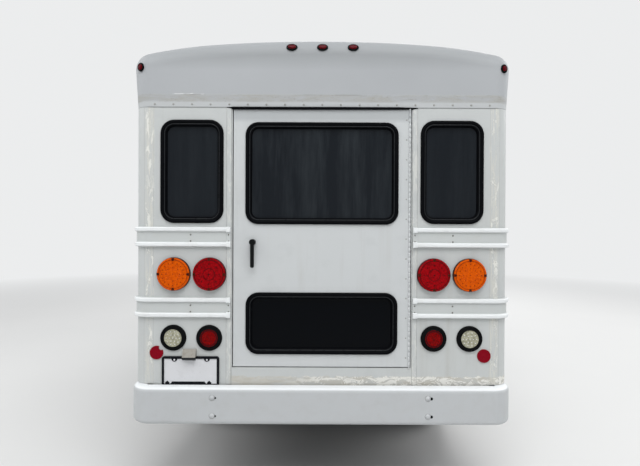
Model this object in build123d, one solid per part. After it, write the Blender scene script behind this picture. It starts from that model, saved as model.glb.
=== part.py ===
from build123d import *
import os
from math import atan2, cos, radians, sin, sqrt, tan

# A short, narrow school bus on a cutaway van chassis, in millimetres.
# +Y is forward, +X the right-hand side, +Z up. The origin is on the ground, midway along its length.

# Whole vehicle
overall_length = 5660
body_width = 2084
rear_overhang = 1395
front_overhang = 760
bumper_reach = 80
bolt_head = 8
y_tail = -overall_length / 2
y_nose = overall_length / 2
y_back = y_tail + bumper_reach
y_bumper = y_tail + bolt_head
y_rear_axle = y_tail + rear_overhang
y_front_axle = y_nose - front_overhang
half_body = body_width / 2

# Stations along the cab, each set back from the one ahead
grille_set_back = 85
hood_length = 760
screen_run = 530
cab_depth = 895
y_grille = y_nose - grille_set_back
y_cowl = y_grille - hood_length
y_screen_top = y_cowl - screen_run
y_cab_back = y_screen_top - cab_depth
y_firewall = y_cowl - 385

# Heights
z_floor = 730
z_skirt = 500
z_seam = 2175
roof_rise = 389
z_roof = z_seam + roof_rise
z_bumper = 440
bumper_height = 200
bumper_gap = 2
apron_bottom = 596

# Body shell
wall = 40
corner_radius = 78
corner_return = 120
seam = 5
pane = 6
lip = 8

# Wheels
tyre_radius = 387
tyre_width = 245
track = body_width - 384
bead_radius = 203
rim_half_width = 98
axle_z = tyre_radius
arch_radius = 455
spindle_radius = 25
kingpin_inset = 100
kingpin_radius = 14
running_gap = 0.4

# Roof: it stands an edge outside the walls at the seam and leans out to its shoulders
roof_edge = 3
roof_lean = 15
roof_corner_radius = 100
roof_end_radius = 90
shoulder_drop = 89
haunch_drop = 31
haunch_x = 0.735 * half_body
crown_x = 0.276 * half_body

# Chassis
rail_spacing = 860
rail_height = 130
rail_flange = 60
z_rail = 500
rail_web = 8
sill_height = 70
deck = 30

# Cab
cab_half = half_body - 37
cab_top_half = cab_half - 45
z_rocker = 430
z_belt = 1290
z_header = z_seam - 190
cap_soffit = 20
z_cowl = z_belt - 15
z_nose = z_cowl - 215
panel = 40

# Doors
door_half = half_body - 552
z_door = z_floor + 10
door_top_gap = 9
door_height = z_seam - door_top_gap - z_door
door_gap = 6
leaf_gap = 6
doorway = 750
step_open = (y_cab_back + 60, y_cab_back + 60 + doorway)
step_z = (360, z_seam - 115)
door_head = z_seam - 75
driver_door_length = 920
y_driver_door = (y_cab_back + 80, y_cab_back + 80 + driver_door_length)

# Hinges: each moving barrel sits between two fixed ones
hinge_play = 0.4
barrel_clearance = 0.5
rear_hinge = (door_half - 4, y_back - 3)
rear_barrel = 5
driver_hinge = (-cab_half - 3, y_driver_door[1] + 2.5)
driver_barrel = 7
driver_barrel_z = ((530, 600), (1150, 1220))
entrance_hinge_x = half_body - 4
entrance_barrel = 5
entrance_barrel_z = ((step_z[0] + leaf_gap, step_z[0] + 86), (step_z[1] - 86, step_z[1] - leaf_gap))
hood_hinge = (y_cowl + 17.5, z_cowl - 4)
hood_barrel = 6
hood_barrel_x = (cab_half - 395, cab_half - 335)


# Drawing helpers

def outline(*corners):
    """A flat face from corners (u, v, fillet radius)."""
    points = [(u, v) for u, v, _ in corners]
    return make_face(FilletPolyline(*points, radius=[r for _, _, r in corners], close=True))


def rounded(u, v, width, height, radius):
    """A rounded rectangle centred at u, v."""
    return Pos(u, v) * RectangleRounded(width, height, radius)


def along_x(face, x0, x1):
    """Extrudes a face drawn in (Y, Z) from x0 to x1."""
    return Pos(x0, 0, 0) * extrude(Plane.YZ * face, x1 - x0)


def along_y(face, y0, y1):
    """Extrudes a face drawn in (X, Z) from y0 to y1."""
    return Pos(0, y1, 0) * extrude(Plane.XZ * face, y1 - y0)


def along_z(face, z0, z1):
    """Extrudes a face drawn in (X, Y) from z0 to z1."""
    return Pos(0, 0, z0) * extrude(face, z1 - z0)


def block(x, y, z):
    """A box from its low and high limits on each axis."""
    size = [b - a for a, b in (x, y, z)]
    middle = [(a + b) / 2 for a, b in (x, y, z)]
    return Pos(*middle) * Box(*size)


def rod_x(x0, x1, y, z, radius):
    return along_x(Pos(y, z) * Circle(radius), x0, x1)


def rod_y(y0, y1, x, z, radius):
    return along_y(Pos(x, z) * Circle(radius), y0, y1)


def rod_z(z0, z1, x, y, radius):
    return along_z(Pos(x, y) * Circle(radius), z0, z1)


def flipped(shape):
    """The same shape on the other side of the vehicle."""
    return mirror(shape, about=Plane.YZ)


def pair(shape):
    return [shape, flipped(shape)]


def fixed_spans(z0, z1, reach):
    """The spans of the two fixed barrels that hold a moving one between z0 and z1."""
    return (z0 - reach, z0 - hinge_play), (z1 + hinge_play, z1 + reach)


pieces = {}


def keep(node, *shapes):
    """Stores the solids of one node."""
    pieces[node] = [s for shape in shapes for s in shape.solids()]


# Wheels: a wheel is drawn about X with +X outwards, its middle at the origin

hub_radius = 62
hub_back = -28
disc_face = 32
disc_thickness = 12
flange_height = 16
tread_half = 96
widest_radius = 302
hand_holes = 8
hand_hole_radius = 15
hand_hole_circle = 163


def tyre():
    half = tyre_width / 2
    flange = bead_radius + flange_height
    section = outline(
        (-rim_half_width + 10, bead_radius, 0), (rim_half_width - 10, bead_radius, 0),
        (rim_half_width, flange, 0), (half, widest_radius, 0), (tread_half, tyre_radius, 0),
        (-tread_half, tyre_radius, 0), (-half, widest_radius, 0), (-rim_half_width, flange, 0))
    return revolve(section, Axis.X)


def rim():
    flange = bead_radius + flange_height
    inner = bead_radius - 9
    barrel = outline(
        (-rim_half_width, inner, 0), (-rim_half_width, flange, 0),
        (-rim_half_width + 10, bead_radius, 0), (rim_half_width - 10, bead_radius, 0),
        (rim_half_width, flange, 0), (rim_half_width, inner, 0))
    disc = outline(
        (disc_face - 24, inner + 2, 0), (disc_face - 24 + disc_thickness, inner + 2, 0),
        (disc_face + 8, 140, 0), (disc_face + 8, 92, 0), (disc_face - 8, 80, 0),
        (disc_face - 8, spindle_radius + running_gap, 0),
        (hub_back, spindle_radius + running_gap, 0), (hub_back, hub_radius, 0),
        (disc_face - 24, hub_radius, 0), (disc_face - 8, 110, 0), (disc_face - 10, 140, 0))
    cap = outline((disc_face - 8, 0, 0), (disc_face - 8, 44, 0), (72, 38, 0), (72, 0, 0))
    hollow = outline((disc_face - 9, 0, 0), (disc_face - 9, spindle_radius + running_gap, 0),
                     (58, spindle_radius + running_gap, 0), (58, 0, 0))
    wheel = revolve(barrel, Axis.X) + revolve(disc, Axis.X) + revolve(cap, Axis.X) - revolve(hollow, Axis.X)
    for k in range(hand_holes):
        angle = radians(360 * (k + 0.5) / hand_holes)
        wheel -= rod_x(0, 2 * disc_face, hand_hole_circle * cos(angle), hand_hole_circle * sin(angle),
                       hand_hole_radius)
    return wheel


def wheel_at(node, side, y):
    centre = Pos(side * track / 2, y, axle_z)
    for name, shape in (("tyre", tyre()), ("rim", rim())):
        turned = shape if side > 0 else flipped(shape)
        keep(f"{name}_{node}", centre * turned)


wheel_table = (
    # node suffix, side, axle position
    ("front_left", -1, y_front_axle), ("front_right", 1, y_front_axle),
    ("rear_left", -1, y_rear_axle), ("rear_right", 1, y_rear_axle))
for node, side, y in wheel_table:
    wheel_at(node, side, y)


# Front axle, its knuckles and the rear axle

kingpin_x = track / 2 - kingpin_inset
beam_half_height = 35
beam_half_width = 30
boss_radius = 34
lug_gap = 5
lug = 30
spindle_start = track / 2 - 35
spindle_end = track / 2 + 50


def front_axle():
    z0, z1 = axle_z - beam_half_height, axle_z + beam_half_height
    beam = block((-kingpin_x, kingpin_x), (y_front_axle - beam_half_width, y_front_axle + beam_half_width),
                 (z0, z1))
    for side in (-1, 1):
        beam += rod_z(z0, z1, side * kingpin_x, y_front_axle, boss_radius)
        beam -= rod_z(z0 - 1, z1 + 1, side * kingpin_x, y_front_axle, kingpin_radius + running_gap)
        web = (side * 120, side * (kingpin_x - 60))
        for y0, y1 in ((beam_half_width - 18, beam_half_width), (-beam_half_width, 18 - beam_half_width)):
            beam -= block((min(web), max(web)), (y_front_axle + y0, y_front_axle + y1), (z0 + 14, z1 - 14))
    return beam


def knuckle():
    """The right-hand steering knuckle, with its kingpin and spindle."""
    low = axle_z - beam_half_height - lug_gap
    high = axle_z + beam_half_height + lug_gap
    plate_x = kingpin_x + boss_radius + 12
    body = block((plate_x, spindle_start), (y_front_axle - 42, y_front_axle + 42), (low - lug, high + lug))
    for z0, z1 in ((low - lug, low), (high, high + lug)):
        body += block((kingpin_x, spindle_start), (y_front_axle - 32, y_front_axle + 32), (z0, z1))
        body += rod_z(z0, z1, kingpin_x, y_front_axle, 32)
    body += rod_z(low - lug, high + lug, kingpin_x, y_front_axle, kingpin_radius)
    body += rod_x(spindle_start - 1, spindle_end, y_front_axle, axle_z, spindle_radius)
    return body


spring_width = 70
leaf = 12
leaf_count = 3
rear_spring_x = rail_spacing / 2 + 90
rear_spring_z = axle_z + 55
front_spring_z = axle_z + beam_half_height
rear_spring_half = 620
front_spring_half = 520


def leaf_pack(x, y, z, half, rise):
    """A pack of curved leaves, longest on top, sitting on z at the axle."""
    radius = (half ** 2 + rise ** 2) / (2 * rise)
    pack = None
    for k in range(leaf_count):
        reach = half * (1 - 0.28 * k)
        level = z + leaf * (leaf_count - 1 - k)
        centre = Pos(y, level + radius + leaf)
        band = centre * Circle(radius + leaf) - centre * Circle(radius)
        band &= Pos(y, level + rise) * Rectangle(2 * reach, 4 * rise)
        strip = along_x(band, x - spring_width / 2, x + spring_width / 2)
        pack = strip if pack is None else pack + strip
    return pack


def rear_axle():
    inner_end = spindle_start - 15
    tube = rod_x(-inner_end, inner_end, y_rear_axle, axle_z, 45)
    case = Pos(0, y_rear_axle, axle_z) * Sphere(150)
    case &= block((-95, 95), (y_rear_axle - 130, y_rear_axle + 140), (axle_z - 150, axle_z + 150))
    nose = rod_y(y_rear_axle + 100, y_rear_axle + 235, 0, axle_z + 20, 62)
    axle = tube + case + nose
    for side in (-1, 1):
        ends = sorted((side * (inner_end - 12), side * spindle_start))
        axle += rod_x(ends[0], ends[1], y_rear_axle, axle_z, 140)
        ends = sorted((side * inner_end, side * spindle_end))
        axle += rod_x(ends[0], ends[1], y_rear_axle, axle_z, spindle_radius)
        seat = (side * rear_spring_x - 40, side * rear_spring_x + 40)
        axle += block(seat, (y_rear_axle - 60, y_rear_axle + 60), (axle_z, rear_spring_z))
    return axle


keep("front_axle", front_axle())
right_knuckle = knuckle()
keep("knuckle_right", right_knuckle)
keep("knuckle_left", flipped(right_knuckle))
keep("rear_axle", rear_axle())
front_spring_x = rail_spacing / 2
front_rise = 24
rear_rise = 70
springs = pair(leaf_pack(rear_spring_x, y_rear_axle, rear_spring_z, rear_spring_half, rear_rise))
springs += pair(leaf_pack(front_spring_x, y_front_axle, front_spring_z, front_spring_half, front_rise))
keep("leaf_springs", *springs)


# Ladder frame

rail_top = z_rail + rail_height
cross_width = 60
cross_table = (
    # y, z low, z high
    (y_back + 110, z_rail + 10, z_rail + 85), (y_rear_axle - 625, z_rail + 40, rail_top - 10),
    (y_rear_axle + 735, z_rail + 40, rail_top - 10), (y_cab_back - 410, z_rail + 55, rail_top - 10),
    (y_grille - 165, z_rail + 10, rail_top - 10))
gearbox_mount_y = y_cowl - 835
gearbox_mount_z = (z_rail - 35, z_rail)
engine_mount_y = y_cowl + 315


def chassis_frame():
    x0 = rail_spacing / 2 - rail_flange / 2
    x1 = rail_spacing / 2 + rail_flange / 2
    rear_end = y_bumper + lip + 0.3
    front_end = y_nose - 60
    rail = block((x0, x1), (rear_end, front_end), (z_rail, rail_top))
    rail -= block((x0 - 1, x1 - rail_web), (rear_end - 1, front_end + 1),
                  (z_rail + rail_web, rail_top - rail_web))
    rail -= block((x0 - 1, x1 + 1), (rear_end - 1, y_back + wall + 10), (apron_bottom - 6, rail_top + 1))
    frame = rail + flipped(rail)
    for y, z0, z1 in cross_table:
        frame += block((-x1 + rail_web, x1 - rail_web), (y - cross_width / 2, y + cross_width / 2), (z0, z1))
    mount = (gearbox_mount_y - 35, gearbox_mount_y + 35)
    frame += block((-x1, x1), mount, gearbox_mount_z)
    frame += block((-x1 + rail_web, x1 - rail_web), (engine_mount_y - 40, engine_mount_y + 40),
                   (z_rail, z_rail + 20))
    # Spring hangers meet the ends of the main leaves
    rear_eye = rear_spring_z + leaf * (leaf_count - 1) + rear_rise
    front_eye = front_spring_z + leaf * (leaf_count - 1) + front_rise
    for side in (-1, 1):
        for end in (-1, 1):
            y = sorted((y_rear_axle + end * rear_spring_half, y_rear_axle + end * (rear_spring_half + 45)))
            reach = sorted((side * (x1 - rail_web), side * (rear_spring_x + spring_width / 2)))
            frame += block(reach, y, (rear_eye - 25, rear_eye + 45))
            y = sorted((y_front_axle + end * front_spring_half,
                        y_front_axle + end * (front_spring_half + 45)))
            reach = sorted((side * (front_spring_x - 30), side * (front_spring_x + 30)))
            frame += block(reach, y, (front_eye - 20, z_rail + rail_web))
    return frame


tow_eye_radius = 22
tow_plate = 16
tow_eye_yz = (y_nose - 120, z_rail - 98)


def tow_eye():
    """A plate with a round eye under the front of the right frame rail."""
    y, z = tow_eye_yz
    x = rail_spacing / 2
    plate = outline((y - 60, z_rail, 0), (y - 45, z - 45, 40), (y + 45, z - 45, 40), (y + 60, z_rail, 0))
    plate -= Pos(y, z) * Circle(tow_eye_radius)
    return along_x(plate, x - tow_plate / 2, x + tow_plate / 2)


right_eye = tow_eye()
keep("chassis_frame", chassis_frame() + right_eye + flipped(right_eye))


# Driveline

pinion = (y_rear_axle + 235, axle_z + 20)
output = (y_cowl - 1035, z_rail + 60)
engine_y = (y_cowl - 285, y_cowl + 495)
engine_half = 300
engine_top = z_nose - 80
gearbox_half = 170


def rod_between(start, end, radius):
    """A round bar between two points."""
    run = [b - a for a, b in zip(start, end)]
    length = sqrt(sum(v * v for v in run))
    return extrude(Plane(origin=start, z_dir=run) * Circle(radius), length)


def engine():
    motor = block((-engine_half, engine_half), engine_y, (z_rail + 20, engine_top))
    gearbox = block((-gearbox_half, gearbox_half), (output[0], engine_y[0]),
                    (gearbox_mount_z[1], rail_top - 5))
    return motor + gearbox


def drive_shaft():
    """The propeller shaft between flat joint flanges."""
    start = (0, pinion[0] + 30, pinion[1])
    end = (0, output[0] - 30, output[1])
    shaft = rod_between(start, end, 36)
    shaft += rod_y(pinion[0], pinion[0] + 60, 0, pinion[1], 50)
    shaft += rod_y(output[0] - 60, output[0], 0, output[1], 50)
    return shaft


keep("engine_block", engine())
keep("drive_shaft", drive_shaft())

exhaust_x = engine_half - 35
exhaust_radius = 28
muffler_radius = 80
muffler_y = (y_cab_back - 710, y_cab_back - 80)
pipe_z = z_rail - 75
pipe_y = (y_rear_axle + 675, engine_y[0] + 40)
pipe_bend = 120


def exhaust():
    y_out, y_in = pipe_y
    path = FilletPolyline((exhaust_x, y_in, pipe_z), (exhaust_x, y_out, pipe_z),
                          (half_body - 45, y_out, pipe_z), radius=pipe_bend)
    start = Plane(origin=(exhaust_x, y_in, pipe_z), z_dir=(0, -1, 0))
    pipe = sweep(start * Circle(exhaust_radius), path)
    muffler = rod_y(muffler_y[0], muffler_y[1], exhaust_x, pipe_z, muffler_radius)
    # A hanger reaches up to a crossmember
    hanger_y, hanger_top, _ = cross_table[3]
    muffler += block((exhaust_x, exhaust_x + 30), (hanger_y - 15, hanger_y + 15), (pipe_z, hanger_top))
    stub = rod_z(pipe_z, z_rail + 20, exhaust_x, y_in, exhaust_radius)
    return pipe + muffler + stub


keep("exhaust_system", exhaust())

floor_bottom = z_floor - deck
sill_bottom = floor_bottom - sill_height
tank_x = (142 - half_body, -(rail_spacing + rail_flange) / 2 - 30)
tank_height = 242
tank_middle = (sum(tank_x) / 2, sill_bottom - 18 - tank_height / 2)
tank_size = (tank_x[1] - tank_x[0], tank_height, 45)
tank_y = (y_cab_back - 860, y_cab_back - 80)
strap = 5
strap_width = 40
sill_y = (y_back + 290, y_rear_axle - 625, y_rear_axle + 595, y_cab_back - 820, y_cab_back - 240,
          y_cab_back + 340, y_cab_back + 920)


def fuel_tank():
    width, height, radius = tank_size
    tank = along_y(rounded(*tank_middle, width, height, radius), *tank_y)
    band = rounded(*tank_middle, width + 2 * strap, height + 2 * strap, radius + strap)
    for y in sill_y[3:5]:
        tank += along_y(band, y - strap_width / 2, y + strap_width / 2)
        tank += block((tank_middle[0] - 30, tank_middle[0] + 30), (y - strap_width / 2, y + strap_width / 2),
                      (tank_middle[1] + height / 2, sill_bottom))
    return tank


keep("fuel_tank", fuel_tank())


# Floor, wheelhouses and entrance steps

house_wall = 10
house_inner = track / 2 - 160
step_x = (half_body - 515, half_body - 280, half_body - wall)
step_tread = (step_z[0], step_z[0] + 185)
tread = 20


def floor_deck():
    inner = half_body - wall
    corner = corner_radius - wall
    cab_inner_half = cab_half - panel
    front = step_open[1] + 60
    plan = outline((-inner, y_back + wall, corner), (inner, y_back + wall, corner), (inner, front, 0),
                   (cab_inner_half, front, 0), (cab_inner_half, y_firewall, 0),
                   (-cab_inner_half, y_firewall, 0), (-cab_inner_half, y_cab_back, 0),
                   (-inner, y_cab_back, 0))
    plate = along_z(plan, floor_bottom, z_floor)
    for y in sill_y:
        half = inner if y < y_cab_back else cab_inner_half - 10
        plate += block((-half, half), (y - 30, y + 30), (sill_bottom, floor_bottom))
    plate -= block((-cab_half, 12 - cab_inner_half), (y_driver_door[0] - seam, y_driver_door[1] + seam),
                   (sill_bottom - 1, z_floor + 1))
    house = Pos(y_rear_axle, axle_z) * Circle(arch_radius + 30)
    hollow = Pos(y_rear_axle, axle_z) * Circle(arch_radius + 30 - house_wall)
    low_cut = (y_rear_axle - 600, y_rear_axle + 600)
    for side in (-1, 1):
        x = sorted((side * house_inner, side * inner))
        deeper = sorted((side * (house_inner + house_wall), side * inner))
        shell = along_x(house, *x) - block(x, low_cut, (-200, floor_bottom))
        plate += shell
        plate -= along_x(hollow, *deeper)
    plate -= block((step_x[0] - tread, inner), (step_open[0] - tread, step_open[1] + tread),
                   (sill_bottom - 1, z_floor + 1))
    return plate


def entrance_steps():
    x0, x1, x2 = step_x
    low, high = step_tread
    stair = block((x1, x2), step_open, (low - tread, low))
    stair += block((x0, x1 + tread), step_open, (high - tread, high))
    stair += block((x1, x1 + tread), step_open, (low - tread, high))
    stair += block((x0 - tread, x0), step_open, (high - tread, z_floor))
    cheek = outline((x0 - tread, z_floor, 0), (x0 - tread, high - tread, 0), (x1, high - tread, 0),
                    (x1, low - tread, 0), (x2, low - tread, 0), (x2, z_floor, 0))
    for y0, y1 in ((step_open[0] - tread, step_open[0]), (step_open[1], step_open[1] + tread)):
        stair += along_y(cheek, y0, y1)
    return stair


keep("floor_deck", floor_deck())
keep("entrance_steps", entrance_steps())


# Body panels

window_count = 4
window_pitch = (y_cab_back - y_back - 270) / window_count
side_window = (window_pitch - 120, 560, 60)
side_window_z = z_seam - 353
rear_window = (348, 570, 75)
rear_window_x = door_half + 230
rear_window_z = z_seam - 355
rubber = 26
door_post = (12, 37)
post_proud = 3

side_windows_y = [y_cab_back - 455 - window_pitch * k for k in range(window_count)]


def wheel_arch(y):
    return Pos(y, axle_z) * Circle(arch_radius)


def side_wall(right):
    """A flat side with its windows and wheel arch cut, in its own outer plane."""
    back = y_back + corner_return
    z_top = z_seam
    z_tail = z_bumper + bumper_height + bumper_gap
    tail = y_tail + 330
    if right:
        front = step_open[1] + 60
        low = step_tread[0] - tread
        edge = outline((back, z_tail, 0), (tail, z_tail, 0), (tail, z_skirt, 0),
                       (y_cab_back, z_skirt, 0), (y_cab_back, low, 0), (front, low, 0),
                       (front, door_head, 0), (y_cab_back, door_head, 0), (y_cab_back, z_top, 0),
                       (back, z_top, 0))
    else:
        edge = outline((back, z_tail, 0), (tail, z_tail, 0), (tail, z_skirt, 0), (y_cab_back, z_skirt, 0),
                       (y_cab_back, z_top, 0), (back, z_top, 0))
    for y in side_windows_y:
        edge -= rounded(y, side_window_z, *side_window)
    edge -= wheel_arch(y_rear_axle)
    if right:
        mid = (step_open[0] + step_open[1]) / 2
        edge -= Pos(mid, (step_z[0] + step_z[1]) / 2 - 50) * Rectangle(
            step_open[1] - step_open[0], step_z[1] - step_z[0] + 100)
    slab = along_x(edge, half_body - wall, half_body)
    # A post turned inwards closes the step down to the narrower cab
    post_y = (step_open[1] + 20, step_open[1] + 60) if right else (y_cab_back - wall, y_cab_back)
    post_top = door_head if right else z_header + cap_soffit
    slab += block((cab_top_half - panel - 20, half_body - wall + 1), post_y, (z_floor, post_top))
    if right:
        top = entrance_barrel_z[1][1] + hinge_play
        sole = entrance_barrel_z[0][0] - hinge_play
        for y, back in ((step_open[0] + leaf_gap, -11), (step_open[1] - leaf_gap, 11)):
            slab += rod_z(top, top + 26, entrance_hinge_x, y, entrance_barrel)
            slab += rod_z(sole - 25, sole, entrance_hinge_x, y, entrance_barrel)
            bracket = sorted((y, y + back))
            slab += block((entrance_hinge_x - entrance_barrel, half_body), bracket, (sole - 25, sole))
    return slab if right else flipped(slab)


def door_post_strips():
    """The flat mouldings that run up both sides of the rear door."""
    near, far = door_post
    return pair(block((door_half + near, door_half + far), (y_back - post_proud, y_back),
                      (z_bumper + bumper_height + bumper_gap, z_seam)))


def rear_wall():
    z0 = z_bumper + bumper_height + bumper_gap
    front = y_back + corner_return
    outer = outline((-half_body, front, 0), (-half_body, y_back, corner_radius),
                    (half_body, y_back, corner_radius), (half_body, front, 0))
    inside = half_body - wall
    inner = outline((-inside, front + 1, 0), (-inside, y_back + wall, corner_radius - wall),
                    (inside, y_back + wall, corner_radius - wall), (inside, front + 1, 0))
    shell = along_z(outer - inner, z0, z_seam)
    shell += block((-half_body + 112, half_body - 112), (y_back, y_back + wall), (apron_bottom, z0))
    opening = block((-door_half - door_gap, door_half + door_gap), (y_back - 1, y_back + wall + 1),
                    (z_door - door_gap, z_seam + 1))
    shell -= opening
    for side in (-1, 1):
        hole = rounded(side * rear_window_x, rear_window_z, *rear_window)
        shell -= along_y(hole, y_back - 1, y_back + wall + 1)
    # A header closes the frame above the door
    header = block((-door_half - door_gap, door_half + door_gap), (y_back, y_back + wall),
                   (z_door + door_height + door_gap, z_seam))
    shell += header
    for span in fixed_spans(z_door, z_door + door_height, door_top_gap):
        shell += rod_z(*span, *rear_hinge, rear_barrel)
    for strip in door_post_strips():
        shell += strip
    return shell


keep("side_wall_left", side_wall(False))
keep("side_wall_right", side_wall(True))
keep("rear_wall", rear_wall())


# Roof shell with its rear cap, and the front cap over the cab

def arc_radius(reach, turn):
    """The radius of the arc that leaves a corner of that turn at a distance of reach from it."""
    return reach / tan(turn / 2)


def roof_profile(inset, low):
    """The roof section: leaning sides, round shoulders, and a crown that is flatter in the middle."""
    foot = half_body + roof_edge - inset
    shoulder = foot + roof_lean
    top = z_roof - inset
    first = atan2(haunch_drop, haunch_x - crown_x)
    second = atan2(shoulder_drop - haunch_drop, shoulder - haunch_x)
    haunch_reach = 0.4 * (haunch_x - crown_x)
    right = [(foot, low, 0), (shoulder, top - shoulder_drop, roof_corner_radius - inset),
             (haunch_x, top - haunch_drop, arc_radius(haunch_reach, second - first)),
             (crown_x, top, arc_radius(0.9 * crown_x, first))]
    return outline(*right, *[(-u, v, r) for u, v, r in reversed(right)])


cap_foot = 2
cap_lean = 16


def cap_back(z):
    """Y of the rear cap's face at a height: it leans out a little as it rises."""
    return y_back - cap_foot - cap_lean * (z - z_seam) / roof_rise


def roof_form():
    """The outside of the roof and its rear cap, as one solid."""
    rear = cap_back(z_roof)
    outer = along_y(roof_profile(0, z_seam), rear, y_cab_back)
    outer -= along_x(outline((cap_back(z_seam), z_seam, 0), (cap_back(z_roof), z_roof, 0),
                             (rear - 9, z_roof, 0), (rear - 9, z_seam, 0)), -body_width, body_width)
    back_edges = outer.edges().filter_by(
        lambda e: abs(e.center().Y - cap_back(e.center().Z)) < 1 and e.center().Z > z_seam + 1)
    return fillet(back_edges, roof_end_radius)


cap_front = y_screen_top + 25
cap_brow = z_header + 75
cap_slope = ((cap_front, cap_brow), (cap_front - 530, z_roof))


def front_cap_block(inset, low):
    (y0, z0), (y1, z1) = cap_slope
    foot = z_header - 185
    back = y_cab_back - 2 * inset
    side_face = outline((back, foot, 0), (y0 - inset, foot, 0), (y0 - inset, z0 - inset, 80),
                        (y1 - inset, z1 - inset + 6, 400), (back, z1 - inset + 6, 0))
    half = half_body + roof_edge + roof_lean - inset
    plan = outline((-half, back, 0), (half, back, 0), (half, cap_front - inset, 100 - inset),
                   (-half, cap_front - inset, 100 - inset))
    section = along_y(roof_profile(inset, low), back, cap_front)
    return section & along_x(side_face, -half - 1, half + 1) & along_z(plan, low - 1, z_roof + 1)


def front_cap():
    shell = cap_form - front_cap_block(wall, z_header + cap_soffit)
    shell -= block((-cab_top_half + panel, cab_top_half - panel), (y_cab_back - 1, cap_front - 60),
                   (z_header - 1, z_header + cap_soffit + 1))
    # The right-hand wall runs up to a head above the entrance
    shell -= block((cab_top_half - panel - 20, body_width), (y_cab_back - 1, step_open[1] + 60),
                   (z_header - 1, door_head))
    return shell


rear_form = roof_form()
cap_form = front_cap_block(0, z_header)
roof_hollow = along_y(roof_profile(wall, z_seam - 1), y_back + wall - cap_foot, y_cab_back + 1)
keep("roof_shell", rear_form - roof_hollow)
keep("front_cap", front_cap())


# Rub rails and bumpers

rail_band = 112
rail_proud = 19
rail_base = 8
rib = 25
rib_round = 6
rub_rail_z = (z_door + 271, z_door + 662)
rub_rail_start = door_half + 15


def rub_rail(z, y_front):
    """One right-hand rail, from beside the rear door, round the corner and along the side."""
    low, high = rail_band / 2 - rib, rib - rail_band / 2
    half = [(0, -rail_band / 2, 0), (-rail_proud, 4 - rail_band / 2, rib_round),
            (-rail_proud, high - 3, rib_round), (-rail_base, high + 4, 0)]
    section = Pos(0, rail_band / 2) * outline(*half, *[(u, -v, r) for u, v, r in reversed(half)])
    path = FilletPolyline((rub_rail_start, y_back, z), (half_body, y_back, z), (half_body, y_front, z),
                          radius=corner_radius)
    start = Plane(origin=(rub_rail_start, y_back, z), x_dir=(0, 1, 0), z_dir=(1, 0, 0))
    return sweep(start * section, path)


rails = []
strip_right, strip_left = door_post_strips()
for z in rub_rail_z:
    rails += [rub_rail(z, y_cab_back - 4) - strip_right, flipped(rub_rail(z, y_cab_back - 5)) - strip_left]
keep("rub_rails", *rails)


bumper_corner = 115
bumper_half = half_body + 8
bumper_return = 322
bumper_round = 24
bumper_bolt_x = (-591, 578)
bumper_bolt_z = (z_bumper + 51, z_bumper + 149)
bumper_bolt_radius = 14.5


def bolt_dome(x, z):
    """The domed head of a bolt on the bumper's face."""
    radius = (bumper_bolt_radius ** 2 + bolt_head ** 2) / (2 * bolt_head)
    reach = bumper_bolt_radius + 2
    slice_of_head = block((x - reach, x + reach), (y_tail - 1, y_bumper + 1), (z - reach, z + reach))
    return Pos(x, y_tail + radius, z) * Sphere(radius) & slice_of_head


def rear_bumper():
    front = y_bumper + bumper_return
    top = z_bumper + bumper_height

    def plan(inset):
        half = bumper_half - inset
        return outline((-half, front, 0), (-half, y_bumper + inset, bumper_corner - inset),
                       (half, y_bumper + inset, bumper_corner - inset), (half, front, 0))

    outer = along_z(plan(0), z_bumper, top)
    rims = outer.edges().filter_by(lambda e: abs(e.center().Y - front) > 1
                                   and (abs(e.center().Z - z_bumper) < 1 or abs(e.center().Z - top) < 1))
    outer = fillet(rims, bumper_round)
    channel = outer - along_z(plan(lip), z_bumper + lip, top - lip)
    channel -= block((-half_body + corner_radius, half_body - corner_radius), (y_bumper + 60, front + 1),
                     (z_bumper - 1, top + 1))
    channel -= block((-bumper_half + lip, bumper_half - lip), (front - 60, front + 1),
                     (z_bumper + lip, top - lip))
    for x in bumper_bolt_x:
        for z in bumper_bolt_z:
            channel += bolt_dome(x, z)
    return channel


keep("rear_bumper", rear_bumper())


# Cab: the outer form is where a side, a front and a plan outline cross

nose_half = cab_half - 40
nose_corner = 110
fender_corner = 200
hood_half = cab_half - 205
hood_z = z_nose - 55
screen_rise = z_header - z_cowl
screen_length = sqrt(screen_rise ** 2 + screen_run ** 2)


def cab_block(inset, top, back, low):
    front = y_grille - inset
    rake = inset * screen_length / screen_rise
    side_face = outline(
        (back, low, 0), (front, low, 0), (front, z_nose - 60, 60),
        (front - 60, z_nose - inset, 60), (y_cowl - inset / 2, z_cowl - inset, 0),
        (y_screen_top - rake - (top - z_header) * screen_run / screen_rise, top, 0), (back, top, 0))
    half, roof_half = cab_half - inset, cab_top_half - inset
    front_face = outline((-half, low, 0), (half, low, 0), (half, z_belt, 0),
                         (roof_half, top, 0), (-roof_half, top, 0), (-half, z_belt, 0))
    bend = y_grille - 265
    plan = outline((-half, back, 0), (half, back, 0), (half, bend, fender_corner),
                   (nose_half - inset, front, nose_corner), (-nose_half + inset, front, nose_corner),
                   (-half, bend, fender_corner))
    return along_x(side_face, -half, half) & along_y(front_face, back, front) & along_z(plan, low, top)


cab_outer = cab_block(0, z_header, y_cab_back, z_rocker)
cab_inner = cab_block(panel, z_header + 1, y_cab_back - 1, z_rocker - 1)
cab_skin = cab_outer - cab_inner

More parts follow.
